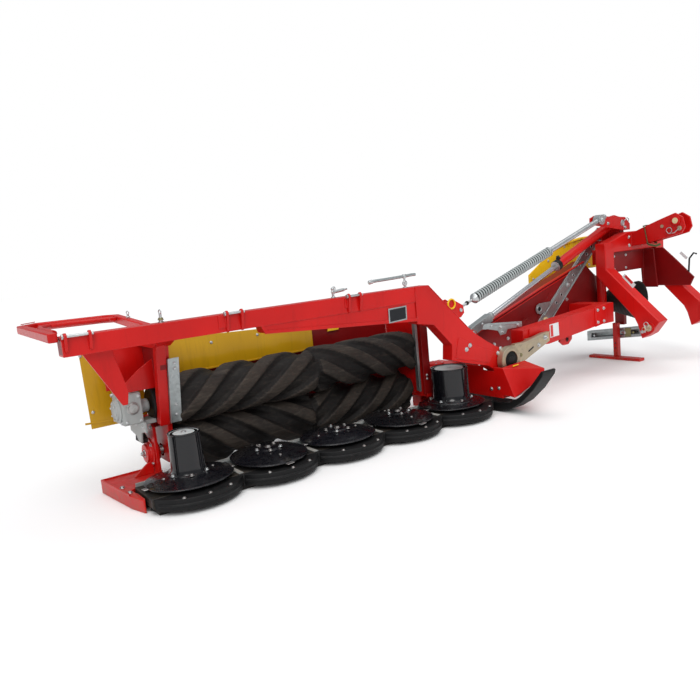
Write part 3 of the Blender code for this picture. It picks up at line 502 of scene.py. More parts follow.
# ------------------------------------------------------------------ discs with their blades and drums
for k in range(5):
    cx = PITCH * k
    ang = 0.0 if k % 2 == 0 else math.pi / 2
    P = Piece(f"disc_{k + 1}_detail", f"disc_{k + 1}", "black_paint", 0.0012, 28)
    R0, B0 = 0.210, 0.190
    prof = [(0.0, 0.0443), (0.10, 0.0443), (0.24, 0.0435), (0.27, 0.041), (0.30, 0.0365), (0.36, 0.0345), (0.50, 0.0300), (0.68, 0.0232), (0.82, 0.0172), (0.90, 0.0135), (0.95, 0.0118),
            (0.985, 0.0105), (1.0, 0.0085), (1.0, 0.004), (0.985, 0.0018), (0.93, 0.0008), (0.0, 0.0006)]
    sides = 96
    vs, fs = [], []
    for r, z in prof:
        for j in range(sides):
            t = 2 * math.pi * j / sides
            # a rounded oval with two shallow scallops where the blades swing
            rr = r * (1 - 0.035 * max(0, math.cos(2 * t)) ** 6 * (1 if r > 0.9 else 0))
            x, y = R0 * rr * math.cos(t), B0 * rr * math.sin(t)
            zz = z
            if 0.33 < r < 0.93:      # pressed ribs running out to the rim
                zz += 0.0022 * max(0, math.cos(t * 2 + math.pi)) ** 4 * math.sin((r - 0.33) / 0.6 * math.pi)
            vs.append((cx + x * math.cos(ang) - y * math.sin(ang), x * math.sin(ang) + y * math.cos(ang), DISC_Z + zz))
    for i in range(len(prof) - 1):
        for j in range(sides):
            j2 = (j + 1) % sides
            fs.append([i * sides + j, i * sides + j2, (i + 1) * sides + j2, (i + 1) * sides + j])
    P.add(vs, fs, BLK)
    for s in (0, math.pi):
        a = ang + s
        u = Vector((math.cos(a), math.sin(a), 0))
        v = Vector((-math.sin(a), math.cos(a), 0))
        c = Vector((cx, 0, DISC_Z + 0.004))
        # twisted blade with a bevelled edge
        n = 8
        vs, fs = [], []
        for i in range(n + 1):
            t = i / n
            p = c + u * (0.150 + 0.0715 * t)
            tw = 0.10 * t
            hw = 0.0225 * (1 - 0.12 * t)
            for sy, sz in ((-1, -1), (1, -1), (1, 1), (-1, 1)):
                vs.append(p + v * hw * sy * (0.86 if sz > 0 else 1) + Z * (0.0016 * sz + tw * sy * 0.018))
        for i in range(n):
            for q in range(4):
                fs.append([i * 4 + q, i * 4 + (q + 1) % 4, (i + 1) * 4 + (q + 1) % 4, (i + 1) * 4 + q])
        fs += [[3, 2, 1, 0], [n * 4, n * 4 + 1, n * 4 + 2, n * 4 + 3]]
        P.add(vs, fs, STEEL)
        bp = Vector((cx, 0, DISC_Z + 0.0140)) + u * 0.182
        P.lathe([(0.022, -0.002), (0.020, 0.003), (0.013, 0.0045)], bp, Z, BLKM, 24)
        P.bolt(bp + Z * 0.004, Z, 0.0105, BLKM, 0.006, washer=False)
        P.bolt(bp - u * 0.062 + Z * 0.010, Z, 0.0075, STEEL, 0.006)
    end = k in (0, 4)
    for j in range(5 if not end else 6):
        a = ang + 0.3 + 2 * math.pi * j / (5 if not end else 6)
        rr = 0.062 if not end else (0.088 if k == 0 else 0.122)
        zt = 0.0365 if not end else 0.034
        P.bolt((cx + rr * math.cos(a), rr * math.sin(a), DISC_Z + zt + (0.003 if not end else 0)), Z, 0.0088, ZINC if j % 2 else STEEL, 0.008)
    if not end:
        P.lathe([(0.044, 0.0), (0.043, 0.0058), (0.034, 0.0078), (0.0, 0.0082)], (cx, 0, DISC_Z + 0.036), Z, BLK, 40)
        P.bolt((cx, 0, DISC_Z + 0.0425), Z, 0.013, STEEL, 0.006)
    else:
        r = 0.078 if k == 0 else 0.108
        top = r * (0.94 if k == 0 else 1.02)
        h0 = DISC_Z + 0.020
        P.lathe([(r * 1.28, 0.0), (r * 1.27, 0.006), (r * 1.20, 0.011), (r * 1.06, 0.017), (r * 1.005, 0.028), (r * 0.995, 0.05), (top * 0.999, DRUM_TOP - h0 - 0.010),
                 (top + 0.0015, DRUM_TOP - h0 - 0.008), (top + 0.0015, DRUM_TOP - h0 - 0.002), (top - 0.001, DRUM_TOP - h0), (top - 0.0035, DRUM_TOP - h0), (top - 0.0045, DRUM_TOP - h0 - 0.007), (0.0, DRUM_TOP - h0 - 0.0085)], (cx, 0, h0), Z, BLK, 64)
        # dished top cap in the light grey that is partly dust and partly painted sky reflection
        P.lathe([(top - 0.0050, -0.0060), (top - 0.0075, -0.0052), (top - 0.012, -0.0066), (top - 0.022, -0.0066), (top - 0.024, -0.0052), (0.0, -0.0050)], (cx, 0, DRUM_TOP), Z, CAP_DUST_AND_SHEEN, 64)
        for j in range(4):
            a = 0.55 + j * math.pi / 2
            u = Vector((math.cos(a), math.sin(a), 0))
            v = Vector((-math.sin(a), math.cos(a), 0))
            ro = r + (0.012 if k == 0 else 0.008)
            pts = []
            for t in (0, 1):
                zz = (h0 + 0.012, DRUM_TOP - 0.006)[t]
                rin = (r * 0.97, top * 0.97)[t]
                for d in (-0.0022, 0.0022):
                    pts += [Vector((cx, 0, zz)) + u * rin + v * d, Vector((cx, 0, zz)) + u * (ro if t == 0 else ro - 0.004) + v * d]
            P.add(pts, [[0, 1, 3, 2], [4, 6, 7, 5], [0, 4, 5, 1], [2, 3, 7, 6], [1, 5, 7, 3], [0, 2, 6, 4]], BLK)
        P.bolt((cx, 0, DRUM_TOP - 0.0052), Z, 0.010, ZINC, 0.0045)
    P.done([f"disc_{k + 1}"])


# ------------------------------------------------------------------ chevron rolls
def make_roll(name, axis, turn, body, phase):
    y0, z0 = axis
    x0, x1 = 0.045, 1.58
    R, core = 0.1295, 0.1000
    nx, na = 250, 260
    mid = 0.86
    lobes = 4
    P = Piece(name + "_detail", body, "black_rubber", 0.0, 180)
    us = np.linspace(0, 1, nx)
    th = np.linspace(0, 2 * np.pi, na, endpoint=False)
    U, T = np.meshgrid(us, th, indexing="ij")
    Xc = x0 + U * (x1 - x0)
    d = np.abs(Xc - mid)
    bow = d - 0.04 * np.sin(np.clip(d / 0.8, 0, 1) * np.pi)
    # helical lugs that meet near the middle, each with a steep leading flank and a long back
    ph = T * lobes + turn * bow / 0.98 * lobes * 2 * np.pi + phase + np.where(Xc < mid, 0.0, np.pi)
    saw = (ph / (2 * np.pi)) % 1.0
    up = np.clip(saw / 0.14, 0, 1)
    dn = np.clip((0.66 - saw) / 0.20, 0, 1)
    lug = (up * up * (3 - 2 * up)) * (dn * dn * (3 - 2 * dn))
    fade = np.clip((d + 0.03) / 0.06, 0.45, 1)
    endf = np.clip(np.minimum(Xc - x0, x1 - Xc) / 0.010, 0, 1) ** 0.5
    r = core + (R - core) * lug * fade
    r = r + 0.0010 * np.sin(T * 40 + 3 * np.sin(Xc * 9)) * lug
    r = core * 0.985 + (r - core * 0.985) * endf
    r = np.minimum(r, R - 0.0002)
    Yv = y0 + r * np.cos(T)
    Zv = z0 + r * np.sin(T)
    vs = np.stack([Xc, Yv, Zv], -1).reshape(-1, 3)
    idx = np.arange(nx * na).reshape(nx, na)
    a = idx[:-1, :]
    b = np.roll(idx, -1, axis=1)[:-1, :]
    c = np.roll(idx, -1, axis=1)[1:, :]
    e = idx[1:, :]
    fs = np.stack([a, e, c, b], -1).reshape(-1, 4).tolist()
    high = (lug * fade).reshape(-1)
    tops = [f for f in fs if sum(high[q] for q in f) > 3.0]
    rest_ = [f for f in fs if sum(high[q] for q in f) <= 3.0]
    for group, mat in ((tops, RUBT), (rest_, RUB)):
        used = sorted({q for f in group for q in f})
        new = {q: n for n, q in enumerate(used)}
        P.add([tuple(vs[q].tolist()) for q in used], [[new[q] for q in f] for f in group], mat)
    for xe, dr in ((x0, -1), (x1, 1)):
        P.lathe([(core * 0.985, 0.0), (core * 0.95, 0.0015), (0.062, 0.0018), (0.060, -0.004), (0.028, -0.004), (0.026, 0.004 if dr < 0 else 0.006), (0.0, 0.004)], (xe, y0, z0), (dr, 0, 0), STEEL, 48)
    P.rod((-0.0175, y0, z0), (x0 + 0.01, y0, z0), 0.0215, STEEL, 24, chamfer=0.002)
    P.rod((x1 - 0.01, y0, z0), (1.6395, y0, z0), 0.0215, STEEL, 24, chamfer=0.002)
    return P.done([name])


make_roll("roll_upper", (0.262, 0.415), -1, "roll_upper", 0.4)
make_roll("roll_lower", (0.335, 0.160), 1, "roll_lower", 1.3)
# pulley face on the upper roll's stub
P = Piece("pulley_detail", "roll_upper", "black_paint", 0.001)
P.lathe([(0.0775, 0.0), (0.0775, 0.004), (0.070, 0.008), (0.0775, 0.0125), (0.070, 0.017), (0.0775, 0.0215), (0.070, 0.0255), (0.0775, 0.030), (0.0775, 0.034), (0.066, 0.035), (0.062, 0.030), (0.034, 0.029), (0.032, 0.0345), (0.0, 0.0345)],
        (-0.0190, 0.262, 0.415), (-1, 0, 0), BLKM, 48)
for j in range(6):
    a = j * math.pi / 3
    P.rod((-0.0478, 0.262 + 0.048 * math.cos(a), 0.415 + 0.048 * math.sin(a)), (-0.0530, 0.262 + 0.048 * math.cos(a), 0.415 + 0.048 * math.sin(a)), 0.006, ZINC, 6)
P.done(["roll_pulley"])

# ------------------------------------------------------------------ main beam: lugs, rods, latches, handle, plate
f = -0.118
P = Piece("beam_fittings", "mower", "red_paint", 0.0014)
P.block(-0.4845, -0.4805, -0.1165, -0.0395, 0.7465, 0.8245, RED)
for xa, xb in ((-0.465, -0.382), (0.232, 0.294), (0.912, 0.972)):
    for xx, wd in ((xa - 0.012, 0.012), (xb, 0.012)):
        P.prism([(f + 0.001, 0.742 if xa > -0.4 else 0.762), (f - 0.008, 0.748 if xa > -0.4 else 0.765), (f - 0.020, 0.805), (f - 0.022, 0.832), (f - 0.010, 0.842), (f + 0.001, 0.836)], "X", xx, xx + wd, RED)
    P.rod((xa - 0.018, f - 0.010, 0.828), (xb + 0.022, f - 0.010, 0.828), 0.0062, ZINC, 14, chamfer=0.0012)
    P.lathe([(0.0105, 0), (0.0105, 0.006), (0.008, 0.008)], (xa - 0.020, f - 0.010, 0.828), (1, 0, 0), ZINC, 16)
# L latch bracket on the beam's near face by the end
P.block(0.185, 0.232, f - 0.004, f + 0.001, 0.765, 0.822, RED)
P.prism([(0.885, 0.768), (0.912, 0.768), (0.912, 0.815), (0.885, 0.822)], "Y", f - 0.004, f + 0.001, RED)
# eye pin near the outer end
P.lathe([(0.013, 0), (0.013, 0.004), (0.009, 0.006), (0.009, 0.016), (0.0062, 0.018), (0.0062, 0.040)], (-0.062, -0.078, 0.826), Z, ZINC, 16)
P.bolt((-0.062, -0.078, 0.838), Z, 0.011, OLIVE, 0.008)
P.ring((-0.062, -0.078, 0.873), (1, 0.25, 0), 0.0085, 0.0028, ZINC, 20, 8)
# spring latch further in
P.lathe([(0.012, 0), (0.012, 0.005), (0.007, 0.007), (0.007, 0.042), (0.0095, 0.044), (0.0095, 0.050), (0.006, 0.053)], (0.845, -0.078, 0.826), Z, ZINC, 16)
P.rod((0.838, -0.078, 0.855), (0.915, -0.078, 0.862), 0.0085, ZINC, 14, chamfer=0.001)
P.rod((0.905, -0.078, 0.861), (0.935, -0.078, 0.864), 0.005, ZINC, 12, chamfer=0.001)
P.ring((0.852, -0.078, 0.874), (0.2, 1, 0), 0.009, 0.0028, ZINC, 20, 8)
# long handle on a post
P.lathe([(0.014, 0), (0.014, 0.004), (0.0065, 0.006), (0.0065, 0.036)], (1.325, -0.078, 0.826), Z, ZINC, 16)
P.ring((1.325, -0.078, 0.852), (0.3, 1, 0), 0.0125, 0.0034, ZINC, 24, 8)
P.tube([(1.080, -0.078, 0.880), (1.10, -0.078, 0.884), (1.20, -0.078, 0.886), (1.30, -0.078, 0.889), (1.385, -0.078, 0.893), (1.404, -0.078, 0.892)], 0.0085, GALV, 12)
P.rod((1.078, -0.078, 0.8795), (1.105, -0.078, 0.884), 0.0108, ZINC, 14, chamfer=0.002)
P.lathe([(0.011, -0.011), (0.0125, 0.0), (0.011, 0.011)], (1.325, -0.078, 0.890), Z, ZINC, 14)
P.rod((1.325, -0.078, 0.860), (1.325, -0.078, 0.888), 0.0055, ZINC, 12)
# blank plate with a light border
P.prism([(1.160, 0.652), (1.287, 0.657), (1.289, 0.734), (1.162, 0.731)], "Y", f - 0.0022, f + 0.001, GALV)
P.prism([(1.168, 0.659), (1.279, 0.664), (1.281, 0.727), (1.169, 0.724)], "Y", f - 0.0028, f - 0.0010, PLATE)
for px, pz in ((1.165, 0.6565), (1.283, 0.6612), (1.2845, 0.730), (1.1655, 0.7272)):
    P.lathe([(0.0022, 0), (0.0018, 0.0014), (0.0, 0.0018)], (px, f - 0.0022, pz), (0, -1, 0), STEEL, 10)
# plate under the beam and its weld
P.prism([(0.395, 0.748), (0.415, 0.706), (1.20, 0.649), (1.36, 0.637), (1.36, 0.655), (1.20, 0.667), (0.425, 0.722), (0.405, 0.756)], "Y", f - 0.001, f + 0.006, RED)
P.weld((0.40, f + 0.003, 0.7455), (1.35, f + 0.003, 0.7455), 0.0028, RED)
P.weld((1.3605, f - 0.0005, 0.645), (1.3605, f - 0.0005, 0.822), 0.0030, RED)
P.done()

# end tube of the beam: a thin plate in the darker red copy set in the recessed open end, painted shade for the inside
# of the tube
P = Piece("beam_end_painted_shade", "mower", "dark_red_paint", 0.001)
P.block(-0.4852, -0.4842, -0.1095, -0.0465, 0.7535, 0.8175, RED_SHADE)
P.done()

# ------------------------------------------------------------------ guard hoop extras
P = Piece("hoop_fittings", "mower", "red_paint", 0.0012)
P.tube([(-0.478, 0.02, 0.836), (-0.474, 0.30, 0.838), (-0.455, 0.42, 0.838), (-0.40, 0.475, 0.838), (-0.30, 0.468, 0.838), (-0.118, 0.43, 0.836)], 0.0125, RED, 12)
for yy in (0.06, 0.24, 0.40):
    P.bar((-0.500, yy, 0.838), (-0.470, yy, 0.838), 0.016, 0.006, RED)
P.block(-0.138, -0.108, 0.415, 0.445, 0.826, 0.842, RED)
# small latch loop near the hoop's root
P.lathe([(0.010, 0), (0.010, 0.004), (0.0055, 0.006), (0.0055, 0.016)], (-0.085, 0.300, 0.842), Z, ZINC, 14)
P.ring((-0.085, 0.300, 0.864), (1, 0.5, 0), 0.008, 0.0026, ZINC, 20, 8)
for a, b in (((-0.51, 0.565, 0.857), (-0.435, 0.64, 0.857)), ):
    P.weld(a, b, 0.0022, RED)
P.done()

# ------------------------------------------------------------------ outer end of the conditioner
P = Piece("outer_end_fittings", "mower", "zinc_plate", 0.0012)
# galvanized strip beside the drum, with its bolts
# red post face plate in front of the roll ends
def lean(xa, xb, t0, t1, dy0, dy1, mat):
    """A flat strip on the leaning front edge of the side plate, from parameter t0 to t1 down it."""
    pts = []
    for t in (t0, t1):
        y, z = 0.092 + (0.182 - 0.092) * t, 0.742 + (0.318 - 0.742) * t
        for xx, dy in ((xa, dy0), (xb, dy0), (xb, dy1), (xa, dy1)):
            pts.append((xx, y + dy, z))
    P.add(pts, [[0, 1, 2, 3], [7, 6, 5, 4], [0, 4, 5, 1], [1, 5, 6, 2], [2, 6, 7, 3], [3, 7, 4, 0]], mat)


lean(-0.045, 0.001, 0.0, 1.0, -0.014, -0.002, RED)
lean(-0.045, -0.036, 0.0, 0.98, -0.002, 0.030, RED)
lean(0.002, 0.060, 0.24, 0.99, -0.018, -0.0142, GALV)
lean(0.002, 0.006, 0.24, 0.99, -0.030, -0.018, GALV)
for t in (0.30, 0.36, 0.78, 0.90):
    P.bolt((0.036, 0.092 + 0.090 * t - 0.018, 0.742 - 0.424 * t), (0, -1, -0.2), 0.0060, ZINC, 0.005)
# bolts on the mounting plates
for (yy, zz) in ((0.12, 0.765), (0.20, 0.745), (0.29, 0.72), (0.14, 0.70), (0.26, 0.655), (0.31, 0.60)):
    P.bolt((-0.0550, yy, zz) if zz > 0.70 else (-0.0020, yy, zz), (-1, 0, 0), 0.0095, ZINC, 0.007)
for yy, zz in ((0.27, 0.30), (0.395, 0.31)):
    P.bolt((-0.0600, yy, zz), (-1, 0, 0), 0.0085, ZINC, 0.006)
# bearing hub of the lower roll
c = Vector((-0.076, 0.335, 0.160))
P.lathe([(0.074, 0.016), (0.074, 0.010), (0.060, 0.008), (0.058, 0.002), (0.048, -0.002), (0.046, -0.012), (0.024, -0.014), (0.022, -0.010), (0.0, -0.010)], c, (1, 0, 0), RED, 40)
for j in range(4):
    a = math.pi / 4 + j * math.pi / 2
    P.bolt(c + Vector((0.0095, 0.066 * math.cos(a), 0.066 * math.sin(a))), (-1, 0, 0), 0.0075, ZINC, 0.006)
P.bolt(c + Vector((-0.010, 0, 0)) + Vector((-0.001, 0, 0)), (-1, 0, 0), 0.015, ZINC, 0.012, stud=0.006)
# grey bracket plate, rubber stop, and the red gusset on the shoe
P.prism([(0.17, 0.350), (0.33, 0.350), (0.41, 0.335), (0.41, 0.275), (0.33, 0.262), (0.30, 0.235), (0.26, 0.235), (0.245, 0.285), (0.20, 0.300), (0.17, 0.300)], "X", -0.1180, -0.1100, CASTM)
P.prism([(0.22, 0.350), (0.22, 0.330), (0.30, 0.330), (0.30, 0.350)], "X", -0.1120, -0.0450, CASTM)
P.prism([(0.285, 0.226), (0.275, 0.248), (0.315, 0.268), (0.375, 0.258), (0.385, 0.226)], "X", -0.1080, -0.0800, RUBB)
for yy, zz in ((0.20, 0.325), (0.29, 0.325), (0.385, 0.31)):
    P.bolt((-0.1180, yy, zz), (-1, 0, 0), 0.007, ZINC, 0.005)
P.prism([(-0.065, 0.0625), (-0.065, 0.125), (-0.095, 0.115), (-0.165, 0.0625)], "Y", 0.300, 0.312, RED)
# inner support web, red, from the beam down; its first plate is in the darker red copy, as painted shade
P.prism([(0.105, 0.742), (0.335, 0.742), (0.335, 0.56), (0.25, 0.50), (0.16, 0.50), (0.105, 0.60)], "X", -0.030, -0.0025, RED_SHADE)
P.prism([(-0.030, 0.64), (-0.030, 0.50), (-0.16, 0.500), (-0.19, 0.53), (-0.10, 0.60)], "Y", 0.205, 0.215, RED)
P.done()

P = Piece("roll_gearbox_detail", "mower", "cast_grey", 0.0015)
for yy in (0.215, 0.330):
    for zz in (0.360, 0.480):
        P.bolt((-0.205, yy, zz), (-1, 0, 0), 0.0085, ZINC, 0.007)
P.lathe([(0.058, 0.0), (0.058, 0.006), (0.050, 0.010), (0.048, 0.020), (0.030, 0.024), (0.0, 0.024)], (-0.205, 0.262, 0.415), (-1, 0, 0), CASTM, 36)
for j in range(6):
    a = j * math.pi / 3 + 0.3
    P.bolt((-0.2285, 0.262 + 0.036 * math.cos(a), 0.415 + 0.036 * math.sin(a)), (-1, 0, 0), 0.0050, ZINC, 0.004, washer=False)
P.block(-0.200, -0.113, 0.1945, 0.2005, 0.350, 0.490, CASTM)
for xx in (-0.190, -0.123):
    for zz in (0.362, 0.478):
        P.bolt((xx, 0.1945, zz), (0, -1, 0), 0.0062, ZINC, 0.005)
P.lathe([(0.030, 0.0), (0.030, 0.004), (0.024, 0.006), (0.022, 0.012), (0.010, 0.014), (0.0, 0.014)], (-0.156, 0.1945, 0.425), (0, -1, 0), STEEL, 28)
for i in range(4):
    P.block(-0.198 + i * 0.026, -0.193 + i * 0.026, 0.215, 0.330, 0.494, 0.503, CASTM)
P.lathe([(0.012, 0), (0.012, 0.008), (0.007, 0.010), (0.007, 0.016)], (-0.135, 0.30, 0.495), Z, BLKM, 16)
P.lathe([(0.046, 0.0), (0.046, 0.006), (0.036, 0.010), (0.0335, 0.020), (0.0, 0.020)], (-0.108, 0.262, 0.415), (1, 0, 0), CASTM, 32)
P.done()

# ------------------------------------------------------------------ shoes, skid and bar details
P = Piece("bar_details", "mower", "cast_grey", 0.0012)
for k in range(4):
    xm = PITCH * (k + 0.5)
    # light plate of the bar between the discs, with the bolts of the gear housings
    P.prism([(xm - 0.13, 0.122), (xm + 0.13, 0.122), (xm + 0.10, 0.02), (xm - 0.10, 0.02)], "Z", 0.0745, 0.0815, GALV)
    for dx in (-0.085, 0.085):
        P.bolt((xm + dx, 0.105, 0.0815), Z, 0.009, ZINC, 0.007)
        P.bolt((xm + dx * 0.7, 0.040, 0.0815), Z, 0.009, ZINC, 0.007) if abs(dx) < 0.05 else None
    P.block(xm - 0.012, xm + 0.012, -0.112, 0.122, 0.0745, 0.0785, BARG)
for k in range(5):
    P.lathe([(0.085, 0.0), (0.085, 0.005), (0.070, 0.009), (0.0, 0.0095)], (PITCH * k, 0, 0.0748), Z, BARG, 36)
P.block(-0.215, 1.92, 0.116, 0.124, 0.030, 0.092, BARG)
for j in range(22):
    P.bolt((-0.18 + j * 0.098, 0.124, 0.052), (0, 1, 0), 0.0065, ZINC, 0.005)
P.done()

P = Piece("rock_guard_details", "mower", "black_paint", 0.0012)
for k in range(5):
    cx = PITCH * k
    for a in (-118, -90, -62):
        t = math.radians(a)
        P.bolt((cx + 0.2335 * math.cos(t), 0.2335 * math.sin(t), 0.0738), Z, 0.0075, STEEL, 0.005)
    ring = [(cx + 0.2410 * math.cos(math.radians(a)), 0.2410 * math.sin(math.radians(a)), 0.046) for a in range(214, 330, 5)]
    P.tube(ring, 0.0080, BLKG, 10)
    for a in (-112, -68):
        t = math.radians(a)
        u = Vector((math.cos(t), math.sin(t), 0))
        c = Vector((cx, -0.02, 0.0))
        P.bar(c + u * 0.150 + Z * 0.014, c + u * 0.205 + Z * 0.0175, 0.030, 0.008, BLKG)
P.done()

P = Piece("shoe_details", "mower", "red_paint", 0.0012)
# outer shoe: folded lip, gusset and seam
P.prism([(-0.300, 0.398), (-0.266, 0.062), (-0.258, 0.066), (-0.290, 0.392), (-0.03, 0.392), (-0.03, 0.398)], "Z", 0.058, 0.069, RED)
P.prism([(-0.2340, -0.048), (-0.2340, 0.060), (-0.2300, 0.060), (-0.2300, -0.048)], "Z", 0.020, 0.066, RED)
P.bolt((-0.250, 0.10, 0.062), Z, 0.010, ZINC, 0.006)
P.bolt((-0.255, 0.20, 0.062), Z, 0.010, ZINC, 0.006)
P.weld((-0.0615, 0.245, 0.066), (-0.0615, 0.39, 0.066), 0.003, RED)
# inner shoe: slot, bolts and folded edges
P.bolt((2.095, -0.262, 0.2662 - 0.020), (0.0, -0.35, 1), 0.009, ZINC, 0.006)
P.rod((1.995, -0.222, 0.279), (2.045, -0.222, 0.281), 0.0040, YELB, 8)
P.bolt((1.930, -0.10, 0.14), (-1, 0, 0), 0.009, ZINC, 0.006)
P.bolt((1.930, -0.16, 0.15), (-1, 0, 0), 0.009, ZINC, 0.006)
P.weld((1.931, -0.185, 0.272), (2.148, -0.185, 0.282), 0.0028, RED)
P.done()
P = Piece("skid_details", "mower", "black_paint", 0.001)
P.bolt((2.01, -0.452, 0.2520), (0, 0.76, 0.65), 0.009, ZINC, 0.006)
P.bolt((1.97, -0.452, 0.2520), (0, 0.76, 0.65), 0.009, ZINC, 0.006)
P.done()

# ------------------------------------------------------------------ rear panels: flanges, hem, bolts
P = Piece("panel_details", "mower", "yellow_sheet", 0.0008)
P.prism([(-0.325, 0.345), (-0.02, 0.325), (-0.02, 0.335), (-0.325, 0.355)], "Y", 0.4220, 0.4252, YEL)
P.prism([(0.03, 0.50), (1.02, 0.50), (1.02, 0.508), (0.03, 0.508)], "Y", 0.4415, 0.4455, YEL)
for xx in (0.10, 0.38, 0.66, 0.94):
    P.bolt((xx, 0.445, 0.640), (0, -1, 0), 0.0065, ZINC, 0.004)
for xx, zz in ((-0.30, 0.68), (-0.06, 0.68), (-0.28, 0.40), (-0.06, 0.38)):
    P.bolt((xx, 0.4252, zz), (0, -1, 0), 0.0062, ZINC, 0.004)
# the extra yellow strip under the beam's inner part
P.prism([(1.135, 0.588), (1.215, 0.588), (1.235, 0.628), (1.15, 0.628)], "Y", 0.452, 0.456, YELB)
P.done()
P = Piece("hood_details", "mower", "dark_red_paint", 0.001)
# ribs and rails of the rear hood in the darker red copy, as painted shade, with zinc bolts
for xx in (0.30, 0.70, 1.10, 1.50):
    P.block(xx - 0.012, xx + 0.012, 0.4778, 0.4840, 0.14, 0.48, RED_SHADE)
P.block(0.04, 1.59, 0.4778, 0.4900, 0.130, 0.140, RED_SHADE)
P.block(1.035, 1.59, 0.4600, 0.4702, 0.648, 0.660, RED_SHADE)
for xx in (0.18, 0.5, 0.82, 1.14, 1.46):
    P.bolt((xx, 0.478, 0.45), (0, 1, 0), 0.007, ZINC, 0.005)
    P.bolt((xx, 0.478, 0.17), (0, 1, 0), 0.007, ZINC, 0.005)
P.done()

# ------------------------------------------------------------------ inner end of the conditioner
P = Piece("inner_end_fittings", "mower", "red_paint", 0.0012)
P.block(1.548, 1.562, 0.128, 0.1325, 0.170, 0.645, GALV)
P.block(1.5605, 1.5645, 0.1285, 0.170, 0.170, 0.645, GALV)
# end plate in the darker red copy, as painted shade
P.prism([(1.585, 0.150), (1.585, 0.66), (1.60, 0.675), (1.64, 0.67), (1.64, 0.150)], "Y", 0.1225, 0.1305, RED_SHADE)
for zz in (0.24, 0.262):
    P.bolt((1.612, 0.1225, zz), (0, -1, 0), 0.007, ZINC, 0.005)
P.lathe([(0.056, 0.0), (0.056, 0.008), (0.046, 0.012), (0.044, 0.022), (0.0, 0.024)], (1.614, 0.262, 0.415), (1, 0, 0), CASTM, 32)
P.lathe([(0.056, 0.0), (0.056, 0.008), (0.046, 0.012), (0.044, 0.022), (0.0, 0.024)], (1.614, 0.335, 0.160), (1, 0, 0), CASTM, 32)
for cy, cz in ((0.262, 0.415), (0.335, 0.160)):
    for j in range(4):
        a = math.pi / 4 + j * math.pi / 2
        P.bolt((1.614, cy + 0.052 * math.cos(a) * 1.25, cz + 0.052 * math.sin(a) * 1.25), (1, 0, 0), 0.0075, ZINC, 0.006)
P.done()
P = Piece("gearcase_details", "mower", "red_paint", 0.0012)
for xx in (1.685, 1.895):
    for zz in (0.15, 0.265):
        P.bolt((xx, 0.150, zz), (0, -1, 0), 0.008, ZINC, 0.006)
P.lathe([(0.060, 0.0), (0.060, 0.008), (0.040, 0.014), (0.0, 0.015)], (1.79, 0.245, 0.290), Z, RED, 36)
for j in range(6):
    a = j * math.pi / 3
    P.bolt((1.79 + 0.050 * math.cos(a), 0.245 + 0.050 * math.sin(a), 0.297), Z, 0.0062, ZINC, 0.005)
P.done()

# ------------------------------------------------------------------ gooseneck, bracket and the folding pivot
P = Piece("gooseneck_details", "mower", "red_paint", 0.0012)
# doubler plate edges on the near face
P.weld((1.462, f - 0.0005, 0.822), (1.74, f - 0.0005, 0.553), 0.0022, RED)
P.prism([(1.63, 0.385), (1.66, 0.50), (1.82, 0.42), (1.95, 0.37), (1.90, 0.31), (1.68, 0.365)], "Y", f - 0.003, f + 0.001, RED)
for xx, zz in ((1.985, 0.354), (2.010, 0.378), (1.72, 0.420), (1.75, 0.440)):
    P.bolt((xx, f - 0.001, zz), (0, -1, 0), 0.011, ZINC, 0.007)
# cylinder lug plate shown at the neck: yellow ring
P.ring((1.70, -0.0415, 0.690), (0, 1, 0), 0.028, 0.0055, YELB, 32, 10)
P.lathe([(0.012, 0.0), (0.012, 0.006), (0.006, 0.008), (0.0, 0.008)], (1.775, -0.0375, 0.645), (0, -1, 0), ZINC, 20)
P.lathe([(0.012, 0.0), (0.012, 0.006), (0.006, 0.008), (0.0, 0.008)], (1.775, 0.0375, 0.645), (0, 1, 0), ZINC, 20)
P.bolt((1.985, 0.075, 0.465), (0, -1, 0), 0.0150, ZINC, 0.006)
P.bolt((1.985, 0.175, 0.465), (0, 1, 0), 0.0150, ZINC, 0.006)
P.done()

P = Piece("pivot_details", "hitch_frame", "yellow_zinc", 0.0012)
c = Vector((2.05, -0.163, 0.305))
P.lathe([(0.083, 0.0), (0.083, -0.003), (0.079, -0.005), (0.055, -0.005), (0.0535, -0.002), (0.0535, 0.004)], c, (0, 1, 0), TAN, 48)
P.lathe([(0.0500, 0.0), (0.0500, 0.0010), (0.0470, 0.0016), (0.0, 0.0016)], (2.05, -0.1634, 0.305), (0, -1, 0), BLKG, 40)
P.lathe([(0.0200, 0.0), (0.0190, 0.0020), (0.0, 0.0024)], (2.05, -0.1648, 0.305), (0, -1, 0), BLKM, 24)
P.bolt((2.156, -0.150, 0.316), (0, -1, 0), 0.0095, OLIVE, 0.006)
P.bolt((2.395, -0.150, 0.392), (0, -1, 0), 0.0130, ZINC, 0.009, stud=0.006)
P.bolt((2.330, -0.150, 0.352), (0, -1, 0), 0.0105, ZINC, 0.007)
P.prism([(2.225, 0.330), (2.232, 0.322), (2.282, 0.345), (2.276, 0.353)], "Y", -0.1512, -0.1490, BLKM)
P.prism([(2.10, 0.386), (2.20, 0.384), (2.38, 0.414), (2.44, 0.419), (2.44, 0.424), (2.37, 0.422), (2.19, 0.392), (2.10, 0.394)], "Y", -0.156, -0.127, TAN)
P.done()

